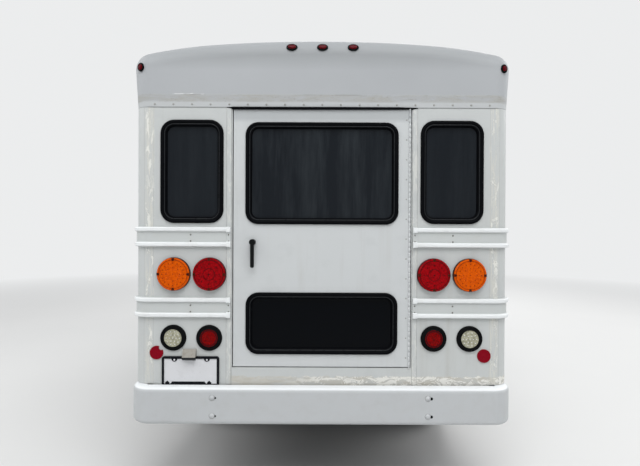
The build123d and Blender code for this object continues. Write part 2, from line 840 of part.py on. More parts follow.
screen_middle = ((y_cowl + y_screen_top) / 2, (z_cowl + z_header) / 2)
screen_plane = Plane(origin=(0, *screen_middle), x_dir=(-1, 0, 0),
                     z_dir=(0, screen_rise / screen_length, screen_run / screen_length))
screen_foot_half = cab_half - 120
screen_top_half = cab_top_half - 110
screen_corner = 90
screen_low = 50 - screen_length / 2
screen_high = screen_length / 2 - 55
screen_hole = outline(
    (-screen_foot_half, screen_low, screen_corner), (screen_foot_half, screen_low, screen_corner),
    (screen_top_half, screen_high, screen_corner), (-screen_top_half, screen_high, screen_corner))

bumper_line = 636
headlamp = (nose_half - 265, z_nose - 215, 230, 170, 25)
turn_signal = (nose_half - 265, z_nose - 342, 230, 52, 14)
grille_hole = (0, z_nose - 240, 2 * nose_half - 1030, 240, 30)
quarter_back = step_open[1] + 100
belt_lift = 25
slant = screen_run / screen_rise


def pillar_y(z, behind):
    """Y of the front pillar's rear edge at a height."""
    return y_cowl - behind - (z - z_cowl) * slant


def driver_door_face(gap):
    y0, y1 = y_driver_door
    top = z_header - 22 - gap
    break_z = z_cowl + (y_cowl - 150 - y1) / slant
    return outline((y0 + gap, z_rocker + 15 + gap, 20), (y1 - gap, z_rocker + 15 + gap, 20),
                   (y1 - gap, break_z - gap, 0), (pillar_y(top, 150) - gap, top, 30), (y0 + gap, top, 30))


def driver_window_face(inset):
    y0, y1 = y_driver_door
    top = z_header - 75
    low = z_belt + belt_lift
    corner = z_cowl + (y_cowl - 225 - y1 + 70) / slant
    return outline((y0 + 60 + inset, low + inset, 35), (y1 - 70 - inset, low + inset, 35),
                   (y1 - 70 - inset, corner, 0), (pillar_y(top, 225) - inset, top - inset, 35),
                   (y0 + 60 + inset, top - inset, 35))


def quarter_face(inset):
    """The fixed window between the right-hand front pillar and the entrance."""
    top = z_header - 120
    low = z_belt + belt_lift
    return outline((quarter_back + inset, low + inset, 25),
                   (pillar_y(low, 150) - inset * 1.6, low + inset, 25),
                   (quarter_back + inset, top - inset * 1.6, 12))


plate = 12
liner_inner = (rail_spacing + rail_flange) / 2 + 45
side_reach = cab_half - 305


def cab_shell():
    shell = cab_skin
    # A firewall steps forward over the wheelhouses and closes the cab from the engine
    inner = cab_half - panel
    shelf = z_cowl - 263
    shell += block((-inner, inner), (y_firewall, y_firewall + plate), (floor_bottom - 60, shelf))
    shell += block((-inner, inner), (y_firewall, y_cowl - 20), (shelf - plate, shelf))
    shell += block((-inner, inner), (y_cowl - 35, y_cowl - 35 + plate), (shelf - plate, z_cowl - 13))
    # Wheelhouse liners
    ring = Pos(y_front_axle, axle_z) * (Circle(arch_radius + 20) - Circle(arch_radius + 12))
    for side in (-1, 1):
        x = sorted((side * liner_inner, side * (inner + 1)))
        liner = along_x(ring, *x) - block(x, (y_front_axle - 600, y_front_axle + 600), (-200, z_rocker + 10))
        shell += liner
    shell -= along_x(wheel_arch(y_front_axle), -cab_half - 1, -inner)
    shell -= along_x(wheel_arch(y_front_axle), inner, cab_half + 1)
    shell -= extrude(screen_plane * screen_hole, 80, both=True)
    shell -= block((-hood_half, hood_half), (y_cowl + 15, y_grille + 1), (hood_z, z_cowl + 100))
    shell -= along_x(driver_door_face(-seam), -cab_half - 1, -side_reach)
    shell -= block((side_reach, cab_half + 1), (y_cab_back - 1, step_open[1] + 60),
                   (z_rocker - 1, z_header + 1))
    shell -= block((-cab_half, cab_half), (y_grille - 215, y_grille + 1), (z_rocker - 1, bumper_line))
    shell -= along_x(quarter_face(0), side_reach, cab_half + 1)
    shell -= along_y(rounded(*grille_hole), y_grille - panel - 1, y_grille + 1)
    for side in (-1, 1):
        for x, z, width, height, radius in (headlamp, turn_signal):
            shell -= along_y(rounded(side * x, z, width, height, radius), y_grille - panel - 40, y_grille + 1)
        x0, x1 = hood_barrel_x
        span = sorted((side * (x0 - hinge_play), side * (x1 + hinge_play)))
        shell -= rod_x(*span, *hood_hinge, hood_barrel + barrel_clearance)
        for a, b in fixed_spans(x0, x1, 35):
            shell += rod_x(*sorted((side * a, side * b)), *hood_hinge, hood_barrel)
    for z0, z1 in driver_barrel_z:
        shell -= rod_z(z0 - hinge_play, z1 + hinge_play, *driver_hinge, driver_barrel + barrel_clearance)
        for a, b in fixed_spans(z0, z1, 30):
            shell += rod_z(a, b, *driver_hinge, driver_barrel)
    return shell


def hood():
    zone = block((-hood_half + seam, hood_half - seam), (y_cowl + 15 + seam, y_grille + 1),
                 (hood_z + seam, z_cowl + 100))
    lid = cab_skin & zone
    for side in (-1, 1):
        for a, b in fixed_spans(*hood_barrel_x, 35):
            span = sorted((side * (a - hinge_play), side * (b + hinge_play)))
            lid -= rod_x(*span, *hood_hinge, hood_barrel + barrel_clearance)
        lid += rod_x(*sorted((side * hood_barrel_x[0], side * hood_barrel_x[1])), *hood_hinge, hood_barrel)
    return lid


def driver_door():
    zone = along_x(driver_door_face(0), -cab_half - 1, -side_reach)
    door = (cab_skin & zone) - along_x(driver_window_face(0), -cab_half - 1, -side_reach)
    for z0, z1 in driver_barrel_z:
        for a, b in fixed_spans(z0, z1, 30):
            door -= rod_z(a - hinge_play, b + hinge_play, *driver_hinge, driver_barrel + barrel_clearance)
        door += rod_z(z0, z1, *driver_hinge, driver_barrel)
    return door


def side_glass(face, side, depth):
    """A pane that follows the leaning cab side, set in from its skin."""
    slab = cab_block(depth, z_header, y_cab_back, z_rocker)
    slab -= cab_block(depth + pane, z_header, y_cab_back, z_rocker)
    x = sorted((side * side_reach, side * (cab_half + 1)))
    return slab & along_x(face, *x)


shell_solids = cab_shell()
keep("cab_shell", shell_solids)
keep("hood", hood())
keep("driver_door_panel", driver_door())
keep("driver_door_glass", side_glass(driver_window_face(0), -1, 16))
quarter_glass = side_glass(quarter_face(0), 1, 16)
keep("windshield", extrude(screen_plane.offset(-22) * screen_hole, pane), quarter_glass)


# Rear door

door_window_table = (
    # z middle, width, height, corner radius
    (z_seam - 363, 2 * door_half - 134, 563, 70), (z_door + 240, 2 * door_half - 140, 341, 70))


def rear_door():
    slab = block((-door_half, door_half), (y_back, y_back + wall), (z_door, z_door + door_height))
    for z, width, height, radius in door_window_table:
        slab -= along_y(rounded(0, z, width, height, radius), y_back - 1, y_back + wall + 1)
    return slab + rod_z(z_door, z_door + door_height, *rear_hinge, rear_barrel)


def rubber_and_pane(x, z, width, height, radius):
    """A rubber ring standing a little proud of the rear face, and the pane that it holds."""
    outer = rounded(x, z, width, height, radius)
    inner = rounded(x, z, width - 2 * rubber, height - 2 * rubber, radius - rubber)
    ring = along_y(outer - inner, y_back - 6, y_back + wall)
    return ring, along_y(inner, y_back + 12, y_back + 12 + pane)


door_glazing = [rubber_and_pane(0, *row) for row in door_window_table]
keep("rear_door_panel", rear_door())
keep("rear_door_rubber", *[ring for ring, _ in door_glazing])
keep("rear_door_glass", *[glass for _, glass in door_glazing])

handle = (108 - door_half, z_door + 690)
handle_boss = 16.5
handle_reach = 38
grip = (20, 157)


def rear_handle():
    x, z = handle
    boss = rod_y(y_back - handle_reach, y_back, x, z, handle_boss)
    bar = rounded(x, z + handle_boss - grip[1] / 2, *grip, 9)
    return boss + along_y(bar, y_back - handle_reach, y_back - handle_reach + 14)


keep("rear_door_handle", rear_handle())
fixed_glazing = [rubber_and_pane(side * rear_window_x, rear_window_z, *rear_window) for side in (-1, 1)]
keep("rear_window_rubber", *[ring for ring, _ in fixed_glazing])
keep("rear_window_glass", *[glass for _, glass in fixed_glazing])


# Side windows: split sashes in a metal frame

frame_bar = 26
sash_lift = 20


def split_window(y):
    """The frame and the two panes of a left or right window, drawn for the right-hand side."""
    width, height, radius = side_window
    inner_w, inner_h = width - 2 * frame_bar, height - 2 * frame_bar
    inner = rounded(y, side_window_z, inner_w, inner_h, radius - frame_bar)
    bar = Pos(y, side_window_z + sash_lift) * Rectangle(inner_w, frame_bar)
    ring = rounded(y, side_window_z, *side_window) - inner + (inner & bar)
    frame = along_x(ring, half_body - wall, half_body + 5)
    level = side_window_z + sash_lift
    above = inner & Pos(y, level + frame_bar / 2 + 300) * Rectangle(inner_w, 600)
    below = inner & Pos(y, level - frame_bar / 2 - 300) * Rectangle(inner_w, 600)
    middle = half_body - wall / 2
    return frame, [along_x(above, middle, middle + pane), along_x(below, middle - 10, middle - 10 + pane)]


frames, panes = [], []
for y in side_windows_y:
    frame, pair_of_panes = split_window(y)
    frames += pair(frame)
    for one in pair_of_panes:
        panes += pair(one)
keep("side_window_frames", *frames)
keep("side_window_glass", *panes)


# Entrance door leaves

leaf_split = 12
leaf_x = (half_body - 38, half_body - 6)
leaf_half = (step_open[1] - step_open[0]) / 2
leaf_width = leaf_half - leaf_gap - leaf_split / 2
leaf_pane_table = (
    # z middle, height
    (z_seam - 535, 640), (step_z[0] + 500, 700))
leaf_pane_width = leaf_width - 115


def entrance_leaf(end):
    """One leaf, hinged at the rear end of the doorway for end -1, at the front for end 1."""
    middle = (step_open[0] + step_open[1]) / 2
    centre = middle + end * (leaf_half - leaf_gap - leaf_width / 2)
    height = step_z[1] - step_z[0] - 2 * leaf_gap
    z = (step_z[0] + step_z[1]) / 2
    face = rounded(centre, z, leaf_width, height, 8)
    glass = []
    for level, tall in leaf_pane_table:
        hole = rounded(centre, level, leaf_pane_width, tall, 30)
        face -= hole
        glass.append(along_x(hole, leaf_x[0] + 14, leaf_x[0] + 14 + pane))
    panel_solid = along_x(face, *leaf_x)
    for z0, z1 in entrance_barrel_z:
        panel_solid += rod_z(z0, z1, entrance_hinge_x, middle + end * (leaf_half - leaf_gap),
                             entrance_barrel)
    return panel_solid, glass


for name, end in (("rear", -1), ("front", 1)):
    panel_solid, glass = entrance_leaf(end)
    keep(f"entrance_leaf_{name}", panel_solid)
    keep(f"entrance_glass_{name}", *glass)


# Lamps, reflectors and the licence plate on the rear face

lamp_table = (
    # x on the right-hand side, z, housing radius, lens radius, housing reach, lens reach, colour
    (door_half + 130, z_door + 512, 92, 90, 14, 23, "red"),
    (half_body - 224, z_door + 512, 92, 90, 14, 23, "amber"),
    (door_half + 132, z_door + 158, 70, 51, 9, 12, "red"),
    (half_body - 221, z_door + 158, 70, 51, 9, 12, "clear"))
lamp_bed = 4
reflector_table = (
    # x, z
    (128 - half_body, z_door + 75), (half_body - 140, z_door + 63))
reflector_radius = 37.5
reflector_reach = 5
lenses = {"red": [], "amber": [], "clear": []}
housings = []
for right_x, z, outer, inner, housing_reach, lens_reach, colour in lamp_table:
    for x in (-right_x, right_x):
        cup = rod_y(y_back - housing_reach, y_back, x, z, outer)
        housings.append(cup - rod_y(y_back - housing_reach - 1, y_back - lamp_bed, x, z, inner))
        lenses[colour].append(rod_y(y_back - lens_reach, y_back - lamp_bed, x, z, inner))
left_reflector, right_reflector = [
    rod_y(y_back - reflector_reach, y_back, x, z, reflector_radius) for x, z in reflector_table]

# The left reflector has lost a bite at its upper right edge
bite = (reflector_table[0][0] + 25.5, reflector_table[0][1] + 26.5)
bite_radius = 13
left_reflector -= rod_y(y_back - reflector_reach - 1, y_back + 1, *bite, bite_radius)
lenses["red"] += [left_reflector, right_reflector]

# Oval marker lamps on the curved edges of the roof
marker_rim = 8
marker_rim_reach = 5
marker_lens_reach = 9
marker_root = 40


def marker_lamp(centre, yaw, tilt, half_size, skin):
    """The rim and the lens of an oval lamp, turned yaw degrees from the rear and tilt degrees up."""
    across = (cos(radians(yaw)), sin(radians(yaw)), 0)
    level = cos(radians(tilt))
    facing = (sin(radians(yaw)) * level, -cos(radians(yaw)) * level, sin(radians(tilt)))
    root = Plane(origin=centre, x_dir=across, z_dir=facing).offset(-marker_root)
    width, height = half_size
    lens_face = Ellipse(width - marker_rim, height - marker_rim)
    rim_face = Ellipse(width, height) - lens_face
    rim_solid = extrude(root * rim_face, marker_root + marker_rim_reach) - skin
    return rim_solid, extrude(root * lens_face, marker_root + marker_lens_reach) - skin


shoulder_tilt = 20
shoulder_z = z_roof - roof_end_radius * (1 - sin(radians(shoulder_tilt)))
shoulder_y = cap_back(shoulder_z) + roof_end_radius * (1 - cos(radians(shoulder_tilt)))
corner_z = z_roof - 170
corner_yaw = 22
corner_x = half_body + roof_edge + roof_lean - roof_end_radius * (1 - sin(radians(corner_yaw)))
corner_y = cap_back(corner_z) + roof_end_radius * (1 - cos(radians(corner_yaw)))
brow_y = cap_front - 265
brow_z = cap_brow + (z_roof - cap_brow) / 2
brow_tilt = 46.4
marker_table = [
    # x, y, z, yaw, tilt, half size, colour
    *[(x, shoulder_y, shoulder_z, 0, shoulder_tilt, (29.5, 20), "red") for x in (-169, 0, 169)],
    *[(side * corner_x, corner_y, corner_z, side * corner_yaw, 0, (20, 22.5), "red") for side in (-1, 1)],
    *[(165 * k, brow_y, brow_z, 180, brow_tilt, (30, 22.5), "amber") for k in range(-2, 3)]]
for x, y, z, yaw, tilt, half_size, colour in marker_table:
    skin = rear_form if colour == "red" else cap_form
    rim_solid, lens_solid = marker_lamp((x, y, z), yaw, tilt, half_size, skin)
    housings.append(rim_solid)
    lenses[colour].append(lens_solid)

for side in (-1, 1):
    for row, colour in ((headlamp, "clear"), (turn_signal, "amber")):
        x, z, width, height, radius = row
        lens = rounded(side * x, z, width - 24, height - 24, radius / 2)
        lenses[colour].append(along_y(lens, y_grille - 30, y_grille - 12))
        bezel = rounded(side * x, z, width, height, radius) - lens
        housings.append(along_y(bezel, y_grille - panel, y_grille - 4))
keep("lamp_housings", *housings)
keep("lamps_red", *lenses["red"])
keep("lamps_amber", *lenses["amber"])
keep("lamps_clear", *lenses["clear"])

plate_x = (159 - half_body, 476 - half_body)
plate_z = (apron_bottom + 35, apron_bottom + 199)
plate_border = 9


def plate_frame():
    centre = (sum(plate_x) / 2, sum(plate_z) / 2)
    width, height = plate_x[1] - plate_x[0], plate_z[1] - plate_z[0]
    outer = rounded(*centre, width, height, 14)
    inner = rounded(*centre, width - 2 * plate_border, height - 2 * plate_border, 8)
    return along_y(outer, y_back - 8, y_back) - along_y(inner, y_back - 9, y_back - 5)


def plate_lamp():
    """A small wedge lamp above the plate, whose front hangs over the top of the frame."""
    foot = plate_z[1]
    side_face = outline((y_back, foot, 0), (y_back, foot + 41, 0), (y_back - 20, foot + 41, 6),
                        (y_back - 40, foot - 6, 6), (y_back - 24, foot - 18, 3), (y_back - 12, foot, 0))
    middle = sum(plate_x) / 2
    return along_x(side_face, middle - 39.5, middle + 32.5)


keep("plate_frame", plate_frame() + plate_lamp())


# Front bumper, grille and mirrors

front_bumper_z = (z_bumper, z_bumper + 190)
front_bumper_half = nose_half + 20
bumper_wrap = y_nose - 260


def front_bumper():
    def plan(inset):
        half = front_bumper_half - inset
        return outline((-half, bumper_wrap, 0), (half, bumper_wrap, 0), (half, y_nose - inset, 120 - inset),
                       (-half, y_nose - inset, 120 - inset))

    low, high = front_bumper_z
    bar = along_z(plan(0), low, high)
    bar -= along_z(plan(lip), low + lip, high - lip)
    bar -= block((-front_bumper_half, front_bumper_half), (bumper_wrap - 1, bumper_wrap + 60),
                 (low + lip, high - lip))
    bar -= block((-front_bumper_half + 60, front_bumper_half - 60), (bumper_wrap - 1, y_nose - 60),
                 (low - 1, high + 1))
    return bar


grille_rim = 20
grille_bar = 14


def grille():
    x, z, width, height, radius = grille_hole
    hole = rounded(x, z, width, height, radius)
    ring = hole - rounded(x, z, width - 2 * grille_rim, height - 2 * grille_rim, radius - grille_rim)
    for k in range(-2, 3):
        ring += Pos(x, z + k * height / 6) * Rectangle(width - 30, grille_bar)
    for side in (-1, 0, 1):
        ring += Pos(x + side * width * 0.31, z) * Rectangle(grille_bar, height - 30)
    return along_y(ring & hole, y_grille - 34, y_grille - 6)


keep("front_bumper", front_bumper())
keep("grille", grille())

mirror_y = y_driver_door[1] - 60
mirror_head = (cab_half + 70, cab_half + 245)
mirror_z = (z_belt + 40, z_belt + 350)


def door_mirror():
    """A right-hand mirror head on two bars that end on the cab side."""
    x0, x1 = mirror_head
    z0, z1 = mirror_z
    head = rounded((x0 + x1) / 2, (z0 + z1) / 2, x1 - x0, z1 - z0, 30)
    shape = along_y(head, mirror_y, mirror_y + 70)
    for foot, hold in ((z_belt - 100, z0 + 50), (z_belt - 20, z1 - 80)):
        shape += rod_between((cab_half - 30, mirror_y + 35, foot), (x0 + 20, mirror_y + 35, hold), 11)
    return shape - cab_outer


right_mirror = door_mirror()
keep("mirror_right", right_mirror)
keep("mirror_left", flipped(right_mirror))


# Seats, barriers and the dashboard

bench_count = 5
bench_pitch = (y_cab_back - y_back - 10) / bench_count
bench_rows = [y_back + 85 + bench_pitch * k for k in range(bench_count)]
aisle_half = 213
bench_x = (aisle_half, half_body - wall)
bench_depth = 400
cushion_z = (z_floor + 310, z_floor + 420)
back_top = z_floor + 990
back_thick = 75
leg_bar = 30
barrier_y = (y_cab_back - 80, y_cab_back - 52)


def bench(y):
    """A right-hand bench whose backrest starts at y."""
    low, high = cushion_z
    section = outline((y, low, 0), (y + back_thick + bench_depth, low, 0),
                      (y + back_thick + bench_depth, high, 30), (y + back_thick + 20, high - 15, 0),
                      (y + back_thick - 15, back_top, 25), (y, back_top, 25))
    return along_x(section, *bench_x)


def bench_frame(y):
    """The aisle-side leg under a bench."""
    x0 = bench_x[0] + 40
    low = cushion_z[0]
    back, front = y + 60, y + bench_depth + 40
    leg = outline((back, z_floor, 0), (front, z_floor, 0), (front - 40, low, 0), (back + 40, low, 0))
    leg -= outline((back + 55, z_floor + leg_bar, 0), (front - 55, z_floor + leg_bar, 0),
                   (front - 85, low - leg_bar - 10, 0), (back + 85, low - leg_bar - 10, 0))
    return along_x(leg, x0, x0 + leg_bar)


cushions, legs = [], []
for y in bench_rows:
    cushions += pair(bench(y))
    legs += pair(bench_frame(y))
keep("bench_legs", *legs)

barrier_z = (z_floor + 200, z_floor + 830)


def barrier():
    panel_face = rounded((bench_x[0] + bench_x[1]) / 2, sum(barrier_z) / 2, bench_x[1] - bench_x[0],
                         barrier_z[1] - barrier_z[0], 40)
    shape = along_y(panel_face, *barrier_y)
    x = bench_x[0] + 45
    return shape + rod_z(z_floor, barrier_z[0] + 10, x, sum(barrier_y) / 2, 14)


keep("bench_cushions", *cushions, *pair(barrier()))

driver_x = 545 - cab_half
seat_half = 240
seat_y = (y_cowl - 1225, y_cowl - 785)
seat_base = z_floor + 270
steering_centre = (driver_x, y_cowl - 655, z_cowl - 35)
column_tilt = 30
column_length = 390
column_radius = 32
column_dir = (0, cos(radians(column_tilt)), -sin(radians(column_tilt)))
steering_radius = 200
steering_tube = 14
hub_length = 60


def driver_seat():
    y0, y1 = seat_y
    low, top = seat_base, seat_base + 720
    cushion = outline((y0, low, 0), (y1, low + 10, 20), (y1, low + 115, 40), (y0 + 110, low + 100, 0),
                      (y0 + 30, top + 10, 40), (y0 - 60, top, 40), (y0 - 10, low, 0))
    shape = along_x(cushion, driver_x - seat_half, driver_x + seat_half)
    head = outline((y0 - 45, top, 0), (y0 + 25, top, 0), (y0 + 10, top + 180, 20), (y0 - 60, top + 170, 20))
    shape += along_x(head, driver_x - seat_half / 2, driver_x + seat_half / 2)
    return shape + block((driver_x - seat_half + 60, driver_x + seat_half - 60), (y0 + 60, y1 - 60),
                         (z_floor, low + 5))


def dashboard():
    shelf = z_cowl - 263
    near, far = y_firewall + 40, y_cowl - 35
    face = outline((near, shelf, 0), (far, shelf, 0), (far, z_cowl - 47, 0), (near + 60, z_cowl - 53, 30),
                   (near + 10, z_cowl - 125, 30))
    dash = along_x(face, -cab_half + panel, cab_half - panel)
    start = [c + (hub_length + 1) * d for c, d in zip(steering_centre, column_dir)]
    end = [c + column_length * d for c, d in zip(steering_centre, column_dir)]
    return dash + rod_between(start, end, column_radius)


def steering_wheel():
    plane = Plane(origin=steering_centre, x_dir=(1, 0, 0), z_dir=column_dir)
    ring = plane * Torus(steering_radius, steering_tube)
    hub = rod_between([c - 15 * d for c, d in zip(steering_centre, column_dir)],
                      [c + hub_length * d for c, d in zip(steering_centre, column_dir)], 45)
    for angle in (-90, 30, 150):
        spoke = Box(steering_radius - 30, 30, steering_tube)
        ring += plane * (Rot(0, 0, angle) * Pos(steering_radius / 2 + 5, 0, 0) * spoke)
    return ring + hub


keep("driver_seat", driver_seat())
keep("dashboard", dashboard())
keep("steering_wheel", steering_wheel())


# Write every node

os.makedirs("parts", exist_ok=True)
for node, solids in pieces.items():
    export_step(Compound(children=solids), f"parts/{node}.step")
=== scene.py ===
import math

import bmesh
import bpy
from mathutils import Matrix, Vector


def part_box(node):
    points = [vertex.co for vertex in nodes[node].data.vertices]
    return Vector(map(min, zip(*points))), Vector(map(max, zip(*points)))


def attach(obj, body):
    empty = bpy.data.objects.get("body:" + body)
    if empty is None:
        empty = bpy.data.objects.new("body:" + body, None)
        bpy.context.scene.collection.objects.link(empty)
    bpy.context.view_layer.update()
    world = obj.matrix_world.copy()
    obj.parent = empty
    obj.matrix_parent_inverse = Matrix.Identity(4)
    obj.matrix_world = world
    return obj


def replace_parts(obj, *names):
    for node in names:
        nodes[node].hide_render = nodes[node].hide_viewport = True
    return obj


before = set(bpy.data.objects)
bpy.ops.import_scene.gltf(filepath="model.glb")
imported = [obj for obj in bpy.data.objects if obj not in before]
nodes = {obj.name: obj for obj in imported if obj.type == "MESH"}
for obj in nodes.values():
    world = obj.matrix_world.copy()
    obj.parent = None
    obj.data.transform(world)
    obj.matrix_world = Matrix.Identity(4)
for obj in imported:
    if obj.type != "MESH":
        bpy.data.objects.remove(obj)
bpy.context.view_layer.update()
scene = bpy.context.scene


# Shared sizes, in metres

Y_BACK = -2.75
Y_BUMPER = -2.822
HALF = 1.042
CORNER = 0.078
CAB_HALF = 1.005
Z_SEAM = 2.175
Z_DOOR = 0.74
DOOR_TOP = 2.166
Z_FLOOR = 0.73
RAIL_MIDDLE = (1.067, 1.458)
RIVET_PITCH = 0.103
SIDES = {-1: "left", 1: "right"}
WHEELS = ("front_left", "front_right", "rear_left", "rear_right")


# Shader graphs

def linear(code):
    """A linear colour from a hexadecimal display colour."""
    out = []
    for v in bytes.fromhex(code):
        v /= 255
        out.append(v / 12.92 if v <= 0.04045 else ((v + 0.055) / 1.055) ** 2.4)
    return (*out, 1)


def link(tree, value, socket):
    """Joins an output to a socket, or sets the socket to a plain value or a hexadecimal colour."""
    if isinstance(value, bpy.types.NodeSocket):
        tree.links.new(value, socket)
    else:
        socket.default_value = linear(value) if isinstance(value, str) else value


def add_node(tree, kind, inputs, output=0, **settings):
    """Adds a node with its settings and inputs, and gives one of its outputs."""
    n = tree.nodes.new(kind)
    for key, value in settings.items():
        setattr(n, key, value)
    for key, value in inputs.items():
        link(tree, value, n.inputs[key])
    return n.outputs[output]


class Graph:
    """A small helper that wires one Principled material."""

    def __init__(self, name, colour, rough=0.5, metal=0.0, **sockets):
        self.mat = bpy.data.materials.new(name)
        self.mat.use_nodes = True
        self.tree = self.mat.node_tree
        self.bsdf = self.tree.nodes["Principled BSDF"]
        self.place = self.node("ShaderNodeTexCoord", {}, "Object")
        self.colour = colour
        sockets.update(Base_Color=colour, Roughness=rough, Metallic=metal)
        for key, value in sockets.items():
            self.drive(key.replace("_", " "), value)

    def node(self, kind, inputs, output=0, **settings):
        return add_node(self.tree, kind, inputs, output, **settings)

    def drive(self, socket, value):
        link(self.tree, value, self.bsdf.inputs[socket])

    def noise(self, scale, detail=3, rough=0.55, stretch=None, distortion=0):
        place = self.place
        if stretch:
            place = self.node("ShaderNodeMapping", {"Scale": stretch, "Vector": place})
        inputs = {"Scale": scale, "Detail": detail, "Roughness": rough, "Distortion": distortion}
        return self.node("ShaderNodeTexNoise", {**inputs, "Vector": place}, "Fac")

    def cells(self, scale, feature="F1"):
        inputs = {"Scale": scale, "Vector": self.place}
        return self.node("ShaderNodeTexVoronoi", inputs, "Distance", feature=feature)

    def span(self, value, low, high, out_low=0, out_high=1):
        """Maps value from low..high to out_low..out_high, clamped."""
        inputs = {"From Min": low, "From Max": high, "To Min": out_low, "To Max": out_high, "Value": value}
        return self.node("ShaderNodeMapRange", inputs, "Result")

    def math(self, op, a, b=0.5):
        return self.node("ShaderNodeMath", {0: a, 1: b}, operation=op)

    def axis(self, k):
        return self.node("ShaderNodeSeparateXYZ", {0: self.place}, k)

    def both(self, first, *others):
        """The product of all, so it is 1 only where each of them is."""
        for other in others:
            first = self.math("MULTIPLY", first, other)
        return first

    def near(self, value, centre, inner, outer, high=1):
        """high where value is within inner of centre, falling to 0 at outer."""
        return self.span(self.math("ABSOLUTE", self.math("SUBTRACT", value, centre)), inner, outer, high, 0)

    def tint(self, colour, *factors):
        """Mixes colour over what the base colour is so far, by the product of the factors."""
        mixed = {"Factor": self.both(*factors), "A": self.colour, "B": colour}
        self.colour = self.node("ShaderNodeMix", mixed, "Result", data_type="RGBA")
        self.drive("Base Color", self.colour)

    def clouds(self, colour, amount, low, high, *noise):
        """Mixes a colour in by amount as a noise of (scale, detail, roughness) runs from low to high."""
        self.tint(colour, self.span(self.noise(*noise), low, high, 0, amount))

    def uneven(self, smoothest, roughest, low, high, *noise):
        """Lets the roughness wander as a noise runs from low to high."""
        self.drive("Roughness", self.span(self.noise(*noise), low, high, smoothest, roughest))

    def bump(self, height, distance, strength):
        """Raises the surface by height, over the bumps that it has so far."""
        inputs = {"Strength": strength, "Distance": distance, "Height": height}
        normal = self.bsdf.inputs["Normal"]
        if normal.is_linked:
            inputs["Normal"] = normal.links[0].from_socket
        self.drive("Normal", self.node("ShaderNodeBump", inputs))


BACKDROP = (0.93, 0.94, 0.945, 1)
DIRT = "968f80"
CREAM = "d8d6cb"
Z_PEELED = (0.682, 0.688)
X_SEALANT = 0.956
X_SEALANT_EDGES = (0.933, 0.985)
X_POST = 0.515
X_POST_EDGES = (0.501, 0.5285)


def wall_paint(name, colour, weathered=True, shaded=False):
    """Brushed white paint over old paint: faint clouds and runs of dirt."""
    g = Graph(name, colour, 0.42, Specular_IOR_Level=0.3, Coat_Weight=0.05, Coat_Roughness=0.2)
    g.clouds("bfc3c4", 0.4, 0.35, 0.75, 1.7, 4)
    g.clouds("b0b4b4", 0.3, 0.52, 0.8, 9, 5, 0.7)
    runs = g.span(g.noise(14, 4, 0.6, (1, 1, 0.05)), 0.55, 0.8, 0, 0.3)
    g.tint(DIRT, runs, g.span(g.noise(2.1, 2), 0.4, 0.65))
    if shaded:
        # Painted shade under the roof cap's edge: the top of the door darker
        g.tint("aaaeb0", g.span(g.axis(2), DOOR_TOP - 0.075, DOOR_TOP - 0.05, 0, 0.75))
    # Wear on the rear face, and painted shadow lines along the door posts
    if weathered:
        wear_and_shade_rear(g)
    g.bump(g.noise(260, 2), 0.0002, 0.25)
    g.bump(g.noise(5, 3), 0.0012, 0.3)
    return g.mat


def wear_and_shade_rear(g):
    """Wear on the rear face alone: peeled paint below the door, old sealant, the posts' chipped edges, and
    painted shadow lines along the posts' edges.
    """
    rear = g.span(g.axis(1), Y_BACK + 0.08, Y_BACK + 0.1, 1, 0)
    across = g.math("ABSOLUTE", g.axis(0))
    # Below the door the last coat has peeled back to cream paint, most of all on the right
    ragged = g.math("ADD", g.axis(2), g.span(g.noise(34, 4, 0.7, (1, 1, 0.4)), 0.3, 0.7, -0.009, 0.009))
    peeled = g.both(rear, g.span(ragged, *Z_PEELED, 1, 0), g.span(g.axis(0), -0.52, -0.49))
    stain = g.span(g.noise(11, 5, 0.7, (0.6, 1, 2.4), 0.6), 0.36, 0.6, 0.1, 0.75)
    g.tint("beb8ab", peeled, stain)
    right = g.both(peeled, g.span(g.axis(0), -0.22, 0.0, 0.12, 1))
    flakes = g.noise(17, 6, 0.74, (0.8, 1, 1.7), 0.9)
    g.tint("e2e1db", right, g.span(flakes, 0.5, 0.515))
    g.tint("8e8a80", right, g.near(flakes, 0.5, 0.002, 0.006, 0.5))
    # Upright streaks of old sealant near the corners
    sealant = g.both(rear, g.near(across, X_SEALANT, 0.016, 0.03))
    streaks = g.span(g.noise(46, 5, 0.75, (1.6, 1, 0.14), 0.5), 0.44, 0.6)
    g.tint(CREAM, sealant, streaks, 0.55)
    chips = g.noise(24, 6, 0.8, (1.4, 1, 0.35), 0.8)
    g.tint("e5e5df", sealant, g.span(chips, 0.54, 0.56), 0.8)
    g.tint("96938a", sealant, g.near(chips, 0.54, 0.003, 0.009, 0.6))
    for x in X_SEALANT_EDGES:
        g.tint("80807c", rear, g.near(across, x, 0.0006, 0.0022, 0.22))
    # Painted shadow lines along the edges of the door posts, with chips beside them
    for x in X_POST_EDGES:
        g.tint("787976", rear, g.near(across, x, 0.0008, 0.0026, 0.45))
    wear = g.span(g.noise(40, 6, 0.8, (1, 1, 0.25), 0.6), 0.5, 0.56)
    g.tint("deded8", rear, g.near(across, X_POST, 0.01, 0.018), wear, 0.5)


Z_LAP = 2.19
Z_BAND = 2.226
Z_SCRATCH = 2.2485
X_SCRATCH = -0.737
Z_BROW = (2.38, 2.47)


